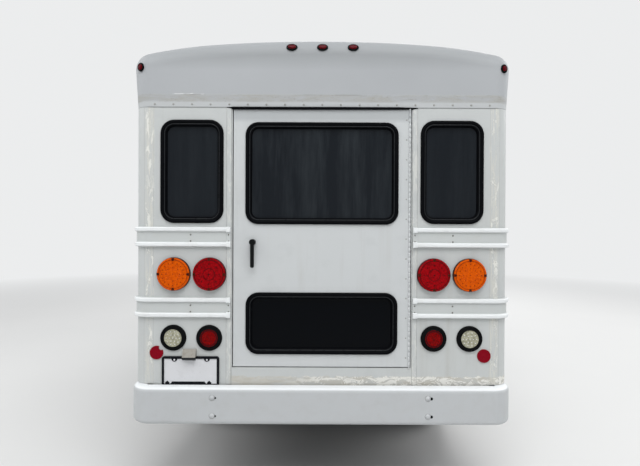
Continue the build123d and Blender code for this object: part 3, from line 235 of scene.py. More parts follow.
def gel_coat(name, colour):
    """The moulded cap: smooth, a little wavy, with a stained band of sealant above its rivets."""
    g = Graph(name, colour, 0.5, Specular_IOR_Level=0.16, Coat_Weight=0.02, Coat_Roughness=0.3)
    height = g.axis(2)
    g.clouds("a2a5a8", 0.4, 0.35, 0.7, 1.1, 3)
    g.clouds("969692", 0.12, 0.6, 0.75, 60, 4, 0.7)
    g.tint("c8cbcb", g.near(height, Z_LAP, 0.016, 0.024, 0.55))
    g.tint("606262", g.near(height, Z_SEAM + 0.0012, 0.0008, 0.0024, 0.75))
    band = g.near(height, Z_BAND, 0.017, 0.023)
    smear = g.span(g.noise(7, 5, 0.7, (1, 1, 4), 0.7), 0.36, 0.6)
    g.tint("a6a49c", band, smear, 0.6)
    cracks = g.span(g.noise(22, 6, 0.8, (1, 1, 5), 1.2), 0.58, 0.62)
    g.tint("848076", band, cracks, 0.6)
    lip = g.near(height, Z_BAND + 0.019, 0.0015, 0.0035, 0.6)
    g.tint("8c8c8a", lip, g.span(g.noise(6, 4), 0.5, 0.62))
    wander = g.math("ADD", height, g.span(g.noise(9, 3), 0.3, 0.7, -0.004, 0.004))
    scratch = g.both(g.near(wander, Z_SCRATCH, 0.0008, 0.0024), g.near(g.axis(0), X_SCRATCH, 0.075, 0.095))
    g.tint("e8e9e8", scratch, g.span(g.noise(30, 4), 0.4, 0.6, 0.1, 0.9))
    # Painted shade under the rear brow of the roof: the cap's rear face darker towards the top
    rear = g.span(g.axis(1), Y_BACK + 0.03, Y_BACK + 0.07, 1, 0)
    g.tint("989b9d", g.span(height, *Z_BROW, 0, 0.8), rear)
    g.bump(g.noise(3.5, 2), 0.002, 0.35)
    g.bump(g.both(band, g.noise(60, 4, 0.7)), 0.0015, 0.6)
    return g.mat


def paint(name, colour, rough=0.4, dust="787064", amount=0.25, below=None, above=None):
    """Paint with dust on it. below and above are functions that tint the graph before and after the dust."""
    g = Graph(name, colour, rough, Specular_IOR_Level=0.3, Coat_Weight=0.05)
    if below:
        below(g)
    g.clouds(dust, amount, 0.48, 0.8, 12, 5, 0.65)
    if above:
        above(g)
    g.uneven(rough - 0.08, rough + 0.15, 0.3, 0.7, 30, 4)
    g.bump(g.noise(220, 3), 0.0003, 0.35)
    return g.mat


def rail_web_shade(g):
    """Painted shade on the web between a rail's bright ribs, found by how far it stands out from the rounded
    body.
    """
    across = g.math("MAXIMUM", g.math("SUBTRACT", g.math("ABSOLUTE", g.axis(0)), HALF - CORNER), 0.0)
    behind = g.math("MAXIMUM", g.math("SUBTRACT", Y_BACK + CORNER, g.axis(1)), 0.0)
    reach = g.math("SQRT", g.math("ADD", g.both(across, across), g.both(behind, behind)))
    g.tint("bcc0bf", g.span(reach, CORNER + 0.011, CORNER + 0.015, 0.85, 0))


def painted_edge_highlight(g):
    """A painted highlight along the bumper's upper edge."""
    g.tint("eef1f3", g.span(g.axis(2), 0.628, 0.634, 0, 0.9))


def rubber(name, colour="08090c", rough=0.42, dust=0.1, shine=0.03):
    g = Graph(name, colour, rough, Specular_IOR_Level=shine)
    g.clouds("2e2e2e", dust, 0.5, 0.8, 34, 4, 0.7)
    g.uneven(rough - 0.12, rough + 0.15, 0.3, 0.7, 18, 3)
    g.bump(g.noise(700, 2), 0.0001, 0.4)
    return g.mat


def glass(name, colour, haze=0.03):
    g = Graph(name, colour, haze, Transmission_Weight=1.0, IOR=1.5)
    g.uneven(haze, haze + 0.05, 0.4, 0.8, 3, 4, 0.6)
    return g.mat


def privacy_glass(name):
    """Almost black glass with faint upright wipe marks; its lower panes reflect less, as a painted reflection
    makes the upper panes lighter.
    """
    g = Graph(name, "010307", 0.07, Transmission_Weight=0.05, IOR=1.5, Specular_IOR_Level=0.05)
    upper = g.span(g.axis(2), 1.1, 1.5)
    # Painted reflection: the upper panes a lighter grey
    g.tint("1a1e23", upper)
    across = g.span(g.math("ABSOLUTE", g.axis(0)), 0.3, 0.6, 1, 0.35)
    wipes = g.span(g.noise(9, 4, 0.7, (1.6, 1, 0.16)), 0.4, 0.75, 0, 0.7)
    g.tint("363b3f", wipes, upper, across)
    g.uneven(0.05, 0.14, 0.4, 0.8, 5, 4, 0.6)
    g.bump(g.noise(2.2, 2), 0.003, 0.3)
    return g.mat


def lens(name, colour, deep, scale=150.0, depth=0.6):
    """A moulded lens: small prisms, deeper colour between them and a soft shine."""
    g = Graph(name, colour, 0.2, Specular_IOR_Level=0.06, Coat_Weight=0.02, Coat_Roughness=0.06)
    prisms = g.cells(scale, "SMOOTH_F1")
    g.tint(deep, g.span(prisms, 0.15, 0.75, 0, depth))
    g.clouds(deep, 0.35, 0.5, 0.75, 40, 4, 0.7)
    g.bump(prisms, 0.0012, 0.7)
    return g.mat


def metal(name, colour, rough=0.35, rust=0.0):
    g = Graph(name, colour, rough, 1.0)
    g.clouds("605c56", 0.3, 0.5, 0.75, 45, 5, 0.7)
    if rust:
        spots = g.noise(20, 6, 0.75)
        start = 0.5 - 0.1 * rust
        g.tint("68422c", g.span(spots, start, 0.62, 0, rust))
        g.drive("Metallic", g.span(spots, start, 0.62, 1, 1 - rust))
    g.bump(g.noise(160, 3), 0.0003, 0.4)
    return g.mat


def plastic(name, colour="0e0f10", rough=0.5):
    g = Graph(name, colour, rough, Specular_IOR_Level=0.08)
    g.clouds("2c2b2a", 0.2, 0.5, 0.8, 15, 4, 0.7)
    g.bump(g.cells(900.0), 0.0002, 0.5)
    return g.mat


def plate_plastic(name):
    """The black plate frame, and above it the weathered grey lamp."""
    g = Graph(name, "0c0e14", 0.4, Specular_IOR_Level=0.2)
    g.clouds("3c3c3e", 0.2, 0.5, 0.8, 25, 4, 0.7)
    lamp = g.span(g.axis(2), 0.7955, 0.7965)
    g.tint("9e9a93", lamp)
    g.tint("7c766c", lamp, g.span(g.noise(60, 5), 0.5, 0.7, 0, 0.5))
    g.bump(g.noise(300, 3), 0.0003, 0.4)
    return g.mat


def vinyl(name, colour):
    g = Graph(name, colour, 0.45, Sheen_Weight=0.1)
    g.clouds("464a54", 0.35, 0.45, 0.75, 6, 4, 0.6)
    leather = g.cells(380)
    g.tint("1a1c22", g.span(leather, 0.35, 0.75, 0, 0.3))
    g.uneven(0.36, 0.56, 0.3, 0.7, 9, 3)
    g.bump(leather, 0.0005, 0.6)
    return g.mat


def floor_rubber(name):
    """Ribbed floor covering with scuffs and dust."""
    g = Graph(name, "343537", 0.7)
    ribs = g.span(g.math("SINE", g.both(g.axis(0), 520.0)), -0.3, 0.3)
    g.tint("222324", ribs, 0.25)
    g.clouds("605c56", 0.4, 0.45, 0.75, 5, 5, 0.7)
    g.bump(ribs, 0.001, 0.6)
    return g.mat


M = {}


def dress(key, mat, *names):
    """Keeps a material under a short key, and puts it on the CAD nodes of these names."""
    M[key] = mat
    for name in names:
        materials = nodes[name].data.materials
        materials.clear()
        materials.append(mat)


dress("wall", wall_paint("wall paint", "c3c6c5"), "side_wall_left", "side_wall_right", "rear_wall")
dress("door", wall_paint("door paint", "c9cccd", False, True), "rear_door_panel")
dress("cab", wall_paint("cab paint", "d2d4d4", False), "cab_shell", "hood", "driver_door_panel")
# The gel coat is darker than the wall paint: partly its own tone, partly painted shade for the cap's
# downward-leaning rear face
dress("cap", gel_coat("roof gel coat", "b1b4b7"), "roof_shell", "front_cap")
dress("bumper", paint("bumper paint", "bdc0c2", 0.4, "aaa9a5", above=painted_edge_highlight), "rear_bumper",
      "front_bumper")
dress("rail", paint("rub rail paint", "e8ebec", 0.36, "bebeb9", 0.3, rail_web_shade), "rub_rails")
dress("rubber", rubber("window rubber"), "rear_door_rubber", "rear_window_rubber")
# The lock strip's lighter grey than the window rubber is a painted highlight
dress("strip", rubber("lock strip", "1a1d20", 0.3, 0.1, 0.2))
dress("grommet", rubber("lamp grommet", "0d0e0f", 0.4), "lamp_housings")
dress("seam", plastic("seam shadow", "262626", 0.8))
dress("hole", plastic("painted hole shadow", "040405", 0.9))
dress("collar", paint("grey bolt collar", "969797", 0.5, "625c54", 0.7))
dress("screw", metal("dull screw", "767672", 0.45))
dress("privacy", privacy_glass("privacy glass"), "rear_door_glass", "rear_window_glass")
dress("tint", glass("side glass", (0.12, 0.14, 0.14, 1)), "side_window_glass",
      "entrance_glass_front", "entrance_glass_rear", "driver_door_glass")
dress("clear", glass("windshield glass", (0.75, 0.82, 0.8, 1), 0.01), "windshield")
dress("red", lens("red lens", "a6010c", "540004", 130.0, 0.75), "lamps_red")
dress("amber", lens("amber lens", "e05f01", "b03600", 120.0), "lamps_amber")
dress("stop", lens("small red lens", "940102", "420001", 190.0, 0.8))
dress("milk", lens("clear lens", "c0bea8", "6a6a58", 95.0, 0.75), "lamps_clear")
dress("headlamp", lens("headlamp lens", "ced4d6", "8e969a", 60.0))
dress("marker", lens("marker lens", "60121c", "30080e", 160.0))
dress("reflector", lens("reflector red", "8a031b", "6a0111", 420.0))
dress("black", plastic("black plastic"), "mirror_left", "mirror_right", "grille", "rear_door_handle",
      "dashboard", "steering_wheel")
dress("steel", paint("wheel paint", "c4c4c2", 0.38, "786e62", 0.5),
      *[f"rim_{wheel}" for wheel in WHEELS])
dress("bolt", metal("plated steel", "c4c4c0", 0.3))
dress("chassis", paint("chassis black", "242322", 0.55, "625648", 0.5), "chassis_frame",
      "front_axle", "rear_axle", "leaf_springs", "drive_shaft", "fuel_tank", "knuckle_left",
      "knuckle_right", "bench_legs")
dress("engine", metal("cast iron", "56524e", 0.6, 0.5), "engine_block")
dress("exhaust", metal("exhaust steel", "787068", 0.5, 0.8), "exhaust_system")
dress("deck", floor_rubber("floor rubber"), "floor_deck", "entrance_steps")
dress("vinyl", vinyl("bench vinyl", "2c3446"), "bench_cushions", "driver_seat")
dress("frame", paint("window frame black", "222223", 0.42, "5a5854", 0.3), "side_window_frames",
      "entrance_leaf_front", "entrance_leaf_rear")
dress("tyre", rubber("tyre rubber", "1e1d1c", 0.72, 0.45, 0.25), *[f"tyre_{wheel}" for wheel in WHEELS])
dress("plate", paint("blank plate", "d6d7da", 0.3, "bebcb6", 0.15))
dress("mirror", metal("mirror glass", "e2e4e6", 0.04))
dress("plate_frame", plate_plastic("plate frame and lamp"), "plate_frame")
dress("black_gloss", plastic("plate frame tabs", "0e1016", 0.35))
dress("rivet", paint("painted rivet", "9e9f9c", 0.4, "6e6c64", 0.5))
dress("lens_tab", plastic("lens screw tab", "421608", 0.4))
dress("red_deep", plastic("moulded red", "420006", 0.4))
dress("amber_deep", plastic("moulded amber", "922e00", 0.4))
dress("skirt_red", plastic("red lamp skirt", "4a040e", 0.3))
dress("skirt_amber", plastic("amber lamp skirt", "401e08", 0.3))


# Mesh helpers

def add(name, data):
    """Makes an object of some data and puts it in the scene."""
    ob = bpy.data.objects.new(name, data)
    scene.collection.objects.link(ob)
    return ob


def piece(name, bm, material, body="body", smooth=40, bevel=0.0):
    """Makes an object of bm that rides on a body."""
    bmesh.ops.recalc_face_normals(bm, faces=bm.faces)
    mesh = bpy.data.meshes.new(name)
    bm.to_mesh(mesh)
    bm.free()
    ob = add(name, mesh)
    mesh.materials.append(M[material])
    for poly in mesh.polygons:
        poly.use_smooth = True
    mesh.set_sharp_from_angle(angle=math.radians(smooth))
    if bevel:
        mod = ob.modifiers.new("edge", "BEVEL")
        mod.width = bevel
        mod.segments = 2
        mod.limit_method = "ANGLE"
        mod.angle_limit = math.radians(35)
    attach(ob, body)
    return ob


def made(shape, *args):
    """A new mesh with one shape in it."""
    bm = bmesh.new()
    shape(bm, *args)
    return bm


def facing(x, y, z, yaw=0.0, tilt=0.0):
    """A place whose local Z points out of a surface. Yaw 0 faces the rear, 90 the right; tilt leans it up."""
    turned = Matrix.Rotation(math.radians(yaw), 4, "Z") @ Matrix.Rotation(math.radians(90 - tilt), 4, "X")
    return Matrix.Translation((x, y, z)) @ turned


def at_rear(x, z, out=0.0):
    """A place on the rear face, or a little out from it."""
    return facing(x, Y_BACK - out, z)


def at_side(side, y, z, out=0.0):
    """A place on the left or right wall, or a little out from it."""
    return facing(side * (HALF + out), y, z, 90 * side)


def mm(*pairs):
    """Points or (radius, height) pairs from millimetres."""
    return [(u / 1000, v / 1000) for u, v in pairs]


def turn(steps):
    """The angles of a full turn in even steps."""
    return [2 * math.pi * k / steps for k in range(steps)]


def polar(radius, angle):
    return radius * math.cos(angle), radius * math.sin(angle)


def skin(bm, rings, closed=True):
    """Joins rings of vertices one after another; closed rings also join their end to their start."""
    for a, b in zip(rings, rings[1:]):
        for k in range(len(a) if closed else len(a) - 1):
            n = (k + 1) % len(a)
            bm.faces.new((a[k], a[n], b[n], b[k]))


def loft(bm, loops):
    """Joins closed loops of points one after another and closes both ends."""
    rings = [[bm.verts.new(p) for p in loop] for loop in loops]
    skin(bm, rings)
    bm.faces.new(rings[0][::-1])
    bm.faces.new(rings[-1])


def lathe(bm, profile, place, segments=48):
    """Turns (radius, height) points about local Z; a point on the axis closes the end."""
    rings = [[bm.verts.new(place @ Vector((*polar(r, a), h))) for a in (turn(segments) if r else [0.0])]
             for r, h in profile]
    for low, high in zip(rings, rings[1:]):
        for k in range(segments):
            a, b = low[k % len(low)], low[(k + 1) % len(low)]
            c, d = high[(k + 1) % len(high)], high[k % len(high)]
            corners = list(dict.fromkeys((a, b, c, d)))
            if len(corners) > 2:
                bm.faces.new(corners)


def slab(bm, outline, place, depth, start=0.0):
    """A plate of an outline in local XY, from local Z start to start + depth."""
    loft(bm, [[place @ Vector((x, y, h)) for x, y in outline] for h in (start, start + depth)])


def circle(radius, steps=24, x=0.0, y=0.0):
    return [(x + u, y + v) for u, v in (polar(radius, a) for a in turn(steps))]


def round_rect(w, h, r, steps=6):
    out = []
    for cx, cy, start in ((1, 1, 0), (-1, 1, 90), (-1, -1, 180), (1, -1, 270)):
        for k in range(steps + 1):
            u, v = polar(r, math.radians(start + 90 * k / steps))
            out.append((cx * (w / 2 - r) + u, cy * (h / 2 - r) + v))
    return out


def swept_ring(bm, outline, place, section):
    """Sweeps a closed section (outward, up) round a closed outline in local XY."""
    rings = []
    for k, point in enumerate(outline):
        p = Vector(point)
        tangent = (Vector(outline[(k + 1) % len(outline)]) - Vector(outline[k - 1])).normalized()
        normal = Vector((tangent.y, -tangent.x))
        rings.append([bm.verts.new(place @ Vector((*(p + normal * o), u))) for o, u in section])
    skin(bm, rings + rings[:1])


def tube(bm, points, radius, segments=10):
    """A round bar along points, with closed ends."""
    pts = [Vector(p) for p in points]
    loops = []
    side = None
    for k, p in enumerate(pts):
        ahead = (pts[min(k + 1, len(pts) - 1)] - pts[max(k - 1, 0)]).normalized()
        if side is None:
            side = ahead.orthogonal().normalized()
        side = (side - ahead * side.dot(ahead)).normalized()
        up = ahead.cross(side)
        loops.append([p + radius * (math.cos(a) * side + math.sin(a) * up) for a in turn(segments)])
    loft(bm, loops)


def dome(bm, place, radius, height, segments=12):
    """A low domed head standing on a surface."""
    profile = [(radius, -0.001), (radius, height * 0.25), (radius * 0.82, height * 0.7),
               (radius * 0.45, height * 0.95), (0, height)]
    lathe(bm, profile, place, segments)


# Camera, at the photograph's place

CAMERA_BACK = 2.662
CAMERA_ROLL = -0.25
cam_data = bpy.data.cameras.new("camera")
cam_data.lens = 27.0
cam_data.sensor_width = 36.0
camera = add("camera", cam_data)
camera.location = (-0.01, Y_BACK - CAMERA_BACK, 1.496)
camera.rotation_euler = (math.radians(89.70), math.radians(CAMERA_ROLL), 0)
scene.camera = camera


# Floor, light and background

floor = bmesh.new()
bmesh.ops.create_grid(floor, x_segments=1, y_segments=1, size=40)
mesh = bpy.data.meshes.new("floor")
floor.to_mesh(mesh)
floor.free()
ground = add("floor", mesh)
g = Graph("floor", "dededd", 0.7)
g.clouds("d6d6d5", 0.2, 0.3, 0.7, 0.8, 3)
mesh.materials.append(g.mat)


def seen_rays(tree):
    """1 for the rays that see the background: camera, glossy and transmission."""
    path = tree.nodes.new("ShaderNodeLightPath").outputs
    value = path["Is Camera Ray"]
    for ray in ("Is Glossy Ray", "Is Transmission Ray"):
        value = add_node(tree, "ShaderNodeMath", {0: value, 1: path[ray]}, operation="MAXIMUM")
    return value


def add_backdrop(tree, near_socket, output, kind, amount):
    """Shows the plain pale background by amount, over what the near socket gives."""
    back = add_node(tree, kind, {"Color": BACKDROP, "Strength": 0.9})
    mixed = add_node(tree, "ShaderNodeMixShader", {"Fac": amount, 1: near_socket, 2: back})
    link(tree, mixed, tree.nodes[output].inputs["Surface"])


# Far from the vehicle the floor turns into the background, so that no horizon shows
distance = g.node("ShaderNodeVectorMath", {0: g.place}, "Value", operation="LENGTH")
add_backdrop(g.tree, g.bsdf.outputs[0], "Material Output", "ShaderNodeEmission",
             g.both(g.span(distance, 5.5, 13), seen_rays(g.tree)))

world = bpy.data.worlds.new("studio")
scene.world = world
world.use_nodes = True
tree = world.node_tree
sky = tree.nodes["Background"]
sky.inputs["Color"].default_value = (0.955, 0.975, 1.0, 1)
sky.inputs["Strength"].default_value = 0.40
add_backdrop(tree, sky.outputs[0], "World Output", "ShaderNodeBackground", seen_rays(tree))
scene.view_settings.view_transform = "Standard"

LIGHTS = (
    # name, place, target, size, watts
    ("key", (0.8, -7.4, 8.2), (0, -2.6, 1.2), (8, 5), 560),
    ("fill", (-7, -3, 6), (0, 0, 1.2), (6, 5), 230),
    ("front", (2, 8.5, 7), (0, 1, 1.2), (7, 5), 470),
    ("right", (7.5, 0, 6), (0, 0, 1.2), (6, 5), 230))
for name, place, target, size, watts in LIGHTS:
    data = bpy.data.lights.new(name, "AREA")
    data.shape = "RECTANGLE"
    data.size, data.size_y = size
    data.energy = watts
    lamp = add(name, data)
    lamp.location = place
    lamp.rotation_euler = (Vector(target) - Vector(place)).to_track_quat("-Z", "Y").to_euler()


# Rear lamps

BIG_LENS = 0.0895
BIG_FACE = 0.0215
BIG_Z = 1.252
SMALL_LENS = 0.051
SMALL_FACE = 0.0095
SMALL_Z = 0.898
MARK_HEIGHT = 0.0004


def relief(flat, rim, middle, width, pattern):
    """The height of a lens by share of its radius and angle: a moulded pattern inside a raised rim."""
    def height(s, a):
        if s >= 0.9:
            return rim * max(0.0, 1 - ((s - middle) / width) ** 2)
        return flat + (pattern(s, a) if s < 0.88 else 0)
    return height


def petals(s, a):
    ripple = 0.0005 * math.cos(2 * math.pi * s * 9)
    petal = 0.0011 * math.cos(24 * a) * max(0.0, math.sin(math.pi * min(1.0, (s - 0.18) / 0.66)))
    return petal + ripple if s > 0.18 else ripple


def sectors(s, a):
    spoke = 0.0012 * abs(math.cos(2 * a)) ** 6 if 0.2 < s < 0.86 else 0
    return spoke + 0.0009 * math.cos(2 * math.pi * s * 7)


def dots(s, a):
    return 0.0012 * math.cos(9 * math.pi * s) * math.cos(12 * a) if s > 0.12 else 0


def polar_lens(bm, place, radius, height, rings=18, segments=96):
    """A round lens whose height is a function of the share of the radius and the angle."""
    loops = [[bm.verts.new(place @ Vector((*polar(radius * s, a), height(s, a)))) for a in turn(segments)]
             for s in (j / rings for j in range(rings, 0, -1))]
    skin(bm, loops)
    middle = bm.verts.new(place @ Vector((0, 0, height(0, 0))))
    last = loops[-1]
    for k in range(segments):
        bm.faces.new((last[k], last[(k + 1) % segments], middle))


def lens_marks(bm, place, radius, lift, rings, spots):
    """Moulded rings (share of the radius, width) and dots (share, count, size) of another colour."""
    for share, wide in rings:
        section = [(wide / 2, lift), (0, lift + MARK_HEIGHT), (-wide / 2, lift)]
        swept_ring(bm, circle(radius * share, 64), place, section)
    for share, count, size in spots:
        for a in turn(count):
            slab(bm, circle(size, 10, *polar(radius * share, a)), place, MARK_HEIGHT, lift)


def lens_tabs(bm, place):
    """Four dark tabs round a big lens that hold its screws."""
    for a in turn(4):
        spot = place @ Matrix.Rotation(a, 4, "Z") @ Matrix.Translation((BIG_LENS * 0.93, 0, 0))
        slab(bm, mm((-8.5, -5), (5.5, -8), (5.5, 8), (-8.5, 5)), spot, 0.007)


SKIRT = mm((92.5, 0), (92.8, 6), (91.8, 13), (91.2, 18.5), (90.2, 20.5), (88.5, 20.5), (88.5, 12))
GROMMET = mm((71.8, 0), (72.2, 4.5), (70.4, 9.5), (66, 12.2), (60, 12.8), (55.5, 11.8), (52.5, 13.5),
             (50.5, 15.2), (49, 14.8), (48.5, 6))
BIG_LAMPS = (
    # x, colour, lens relief, material of the marks, their rings, their dots
    (0.620, "red", relief(0.004, 0.0055, 0.94, 0.062, sectors), "red_deep",
     ((0.88, 0.0034), (0.36, 0.0024)), ((0.0, 1, 0.005), (0.62, 8, 0.0036))),
    (0.818, "amber", relief(0.004, 0.006, 0.94, 0.062, petals), "amber_deep",
     ((0.88, 0.0026),), ((0.0, 1, 0.003), (0.42, 8, 0.0028), (0.68, 16, 0.0032))))
for x, colour, height, marks, *pattern in BIG_LAMPS:
    for side, name in SIDES.items():
        tag = f"{colour}_{name}"
        place = at_rear(side * x, BIG_Z, BIG_FACE)
        piece(f"lens_marks_{tag}", made(lens_marks, place, BIG_LENS, 0.0052, *pattern), marks)
        piece(f"lens_{tag}", made(polar_lens, place, BIG_LENS, height), colour)
        piece(f"lens_tabs_{tag}", made(lens_tabs, place), "lens_tab")
        piece(f"lamp_skirt_{tag}", made(lathe, SKIRT, at_rear(side * x, BIG_Z), 64), f"skirt_{colour}")

SMALL_LAMPS = (
    # x, material, material of the marks, their rings, their dots
    (0.622, "stop", "red_deep", ((0.84, 0.008),), ((0.0, 1, 0.003), (0.4, 6, 0.0016), (0.64, 12, 0.0016))),
    (0.821, "milk", "plate", (), ((0.0, 1, 0.003), (0.38, 6, 0.003), (0.72, 10, 0.003))))
for x, material, marks, *pattern in SMALL_LAMPS:
    for side, name in SIDES.items():
        tag = f"{material}_{name}"
        place = at_rear(side * x, SMALL_Z, SMALL_FACE)
        height = relief(0.0035, 0.005, 0.93, 0.075, dots)
        piece(f"small_lens_{tag}", made(polar_lens, place, SMALL_LENS, height, 14, 72), material)
        piece(f"small_lens_marks_{tag}", made(lens_marks, place, SMALL_LENS, 0.0046, *pattern), marks)
        piece(f"grommet_{tag}", made(lathe, GROMMET, at_rear(side * x, SMALL_Z), 64), "grommet")

REFLECTOR = 0.037
BITE_X, BITE_Y, BITE = 0.0255, 0.0265, 0.0125


def bitten_disc():
    """The left reflector's outline, with a round bite out of its upper right."""
    rim = [p for p in circle(REFLECTOR, 48) if math.dist(p, (BITE_X, BITE_Y)) > BITE]
    cut = [polar(BITE, math.radians(a)) for a in range(335, 115, -20)]
    cut = [(BITE_X + u, BITE_Y + v) for u, v in cut]
    start = min(range(len(rim)), key=lambda k: math.dist(rim[k], cut[-1]))
    return rim[start:] + rim[:start] + [p for p in cut if math.hypot(*p) < REFLECTOR]


for side, x, z, rim in ((-1, -0.914, 0.815, bitten_disc()), (1, 0.902, 0.803, circle(REFLECTOR, 48))):
    bm = made(slab, rim, at_rear(x, z, 0.0045), 0.0012)
    piece(f"reflector_{SIDES[side]}", bm, "reflector", bevel=0.0004)


# Marker lamps on the roof: domed oval lenses over the CAD rims

Z_ROOF = 2.564
ROOF_END = 0.09
SHOULDER_TILT = 20
CORNER_DROP = 0.17
CORNER_YAW = 22
BROW_Y, BROW_Z, BROW_TILT = 1.215, 2.312, 46.4
BROW_PITCH = 0.165


def cap_back(z):
    return Y_BACK - 0.002 - 0.016 * (z - Z_SEAM) / (Z_ROOF - Z_SEAM)


def inside_edge(angle):
    """How far a point of the rounded roof edge that faces an angle stands inside its two flat faces."""
    a = math.radians(angle)
    return ROOF_END * (1 - math.sin(a)), ROOF_END * (1 - math.cos(a))


down, inward = inside_edge(SHOULDER_TILT)
shoulder = (cap_back(Z_ROOF - down) + inward, Z_ROOF - down)
narrower, inward = inside_edge(CORNER_YAW)
corner_x = HALF + 0.018 - narrower
corner = (cap_back(Z_ROOF - CORNER_DROP) + inward, Z_ROOF - CORNER_DROP)
MARKERS = [
    # x, y, z, yaw, tilt, half width, half height, lens
    *[(x, *shoulder, 0, SHOULDER_TILT, 0.0295, 0.02, "marker") for x in (-0.169, 0.0, 0.169)],
    *[(side * corner_x, *corner, side * CORNER_YAW, 0, 0.02, 0.0225, "marker") for side in SIDES],
    *[(BROW_PITCH * k, BROW_Y, BROW_Z, 180, BROW_TILT, 0.03, 0.0225, "amber") for k in range(-2, 3)]]
MARKER_LENS = [(1.0, 0.002), (1.0, 0.0088), (0.93, 0.0104), (0.78, 0.0112), (0.7, 0.0105), (0.35, 0.0114),
               (0, 0.0116)]
MARKER_RIM = mm((2.8, -1.5), (2.4, 4), (0.2, 6.3), (-4.5, 6.3), (-6.6, 4.8), (-6.8, 1))
LENS_INSET = 0.0082
RIM_INSET = 0.0015
for number, (x, y, z, yaw, tilt, half_w, half_h, kind) in enumerate(MARKERS, 1):
    place = facing(x, y, z, yaw, tilt)
    oval = place @ Matrix.Diagonal((half_w - LENS_INSET, half_h - LENS_INSET, 1, 1))
    piece(f"marker_lens_{number}", made(lathe, MARKER_LENS, oval, 36), kind)
    edge = [((half_w - RIM_INSET) * math.cos(a), (half_h - RIM_INSET) * math.sin(a)) for a in turn(48)]
    piece(f"marker_rim_{number}", made(swept_ring, edge, place, MARKER_RIM), "grommet")


# Window rubbers with their lock strips

BEAD = mm((0, 0), (1.2, 4), (-0.5, 8.5), (-5, 11.5), (-12, 12), (-17.5, 9.5), (-19.5, 6.8), (-20.5, 0))
STRIP = mm((-19.8, 4), (-20.5, 8.2), (-22.8, 9.2), (-25, 7.8), (-26.2, 4))
LIP = mm((-25.5, 6.5), (-27.5, 5.5), (-34.5, -8.5), (-35, -11.8), (-25.5, -11.8))
WINDOWS = (
    # body, x, z, width, height, corner radius, name
    ("rear_door", 0.0, 1.812, 0.846, 0.563, 0.07, "door_upper"),
    ("rear_door", 0.0, 0.98, 0.84, 0.341, 0.07, "door_lower"),
    *[("body", side * 0.72, 1.82, 0.348, 0.57, 0.075, f"window_{name}") for side, name in SIDES.items()])
for body, x, z, width, height, radius, name in WINDOWS:
    edge = round_rect(width, height, radius, 10)
    place = at_rear(x, z)
    bm = made(swept_ring, edge, place, BEAD)
    swept_ring(bm, edge, place, LIP)
    piece(f"{name}_bead", bm, "rubber", body, 60)
    piece(f"{name}_lock_strip", made(swept_ring, edge, place, STRIP), "strip", body, 60)


# Rivets, seals and screws on the rear face

ROOF_RIVET = (0.0058, 0.0026)
HINGE_RIVET = (0.0042, 0.0016)
RAIL_SCREW = (0.0046, 0.0014)
SIDE_RIVET = (0.0045, 0.0018)
bm = bmesh.new()
for k in range(-9, 10):
    dome(bm, at_rear(RIVET_PITCH * k, Z_LAP + 0.002, 0.0027), *ROOF_RIVET)
for side in SIDES:
    for k in range(31):
        y = Y_BACK + 0.16 + RIVET_PITCH * k
        dome(bm, at_side(side, y, Z_LAP + 0.002, 0.0037), *ROOF_RIVET, 8)
piece("roof_rivets", bm, "rivet")

HEAD_SEAL = (
    # x, low, high, reach
    (-0.528, 2.1725, 2.1765, 0.003), (-0.505, 2.170, 2.1765, 0.006), (-0.492, 2.163, 2.1775, 0.011),
    (-0.2, 2.1635, 2.1775, 0.012), (0.1, 2.164, 2.178, 0.012), (0.42, 2.1655, 2.178, 0.010),
    (0.505, 2.167, 2.1765, 0.007), (0.53, 2.1715, 2.1755, 0.003))
loops = []
for x, low, high, reach in HEAD_SEAL:
    section = ((-0.001, low), (0.7 * reach, low), (0.002 + reach, (low + high) / 2),
               (0.002 + 0.8 * reach, high), (-0.001, high))
    loops.append([Vector((x, Y_BACK - out, z)) for out, z in section])
piece("door_head_seal", made(loft, loops), "rubber", smooth=30)

KNUCKLE_PITCH = 0.0275
bm = bmesh.new()
z = Z_DOOR + 0.004
while z < DOOR_TOP - 0.028:
    place = Matrix.Translation((0.486, Y_BACK - 0.003, z))
    lathe(bm, mm((4.9, 0), (5.8, 0.8), (5.8, 23.2), (4.9, 24)), place, 14)
    z += KNUCKLE_PITCH
piece("hinge_knuckles", bm, "door", "rear_door", 50)

bm = bmesh.new()
for k in range(13):
    dome(bm, at_rear(0.468, Z_DOOR + 0.05 + 0.11 * k), *HINGE_RIVET, 8)
piece("hinge_rivets", bm, "rivet", "rear_door")

RAIL_CAP = mm((1, -57.5), (21.2, -54.5), (21.2, -28.5), (9.8, -24.5), (9.8, 24.5), (21.2, 28.5), (21.2, 54.5),
              (1, 57.5))
caps = bmesh.new()
screws = bmesh.new()
for side in SIDES:
    for z in RAIL_MIDDLE:
        loft(caps, [[Vector((side * x, Y_BACK - u * scale, z + v)) for u, v in RAIL_CAP]
                    for x, scale in ((0.503, 0.8), (0.505, 1.0), (0.526, 1.0), (0.528, 0.93))])
        for height in (z - 0.023, z + 0.012):
            for x in (0.515, 0.725):
                dome(screws, at_rear(side * x, height, 0.0092), *RAIL_SCREW)
            for k in range(7):
                y = Y_BACK + 0.32 + 0.43 * k
                dome(screws, at_side(side, y, height, 0.0082), *RAIL_SCREW, 8)
piece("rail_end_caps", caps, "rail", bevel=0.0018)
piece("rail_screws", screws, "screw")


# Bumper bolts, and painted shadows of the spare holes beside them

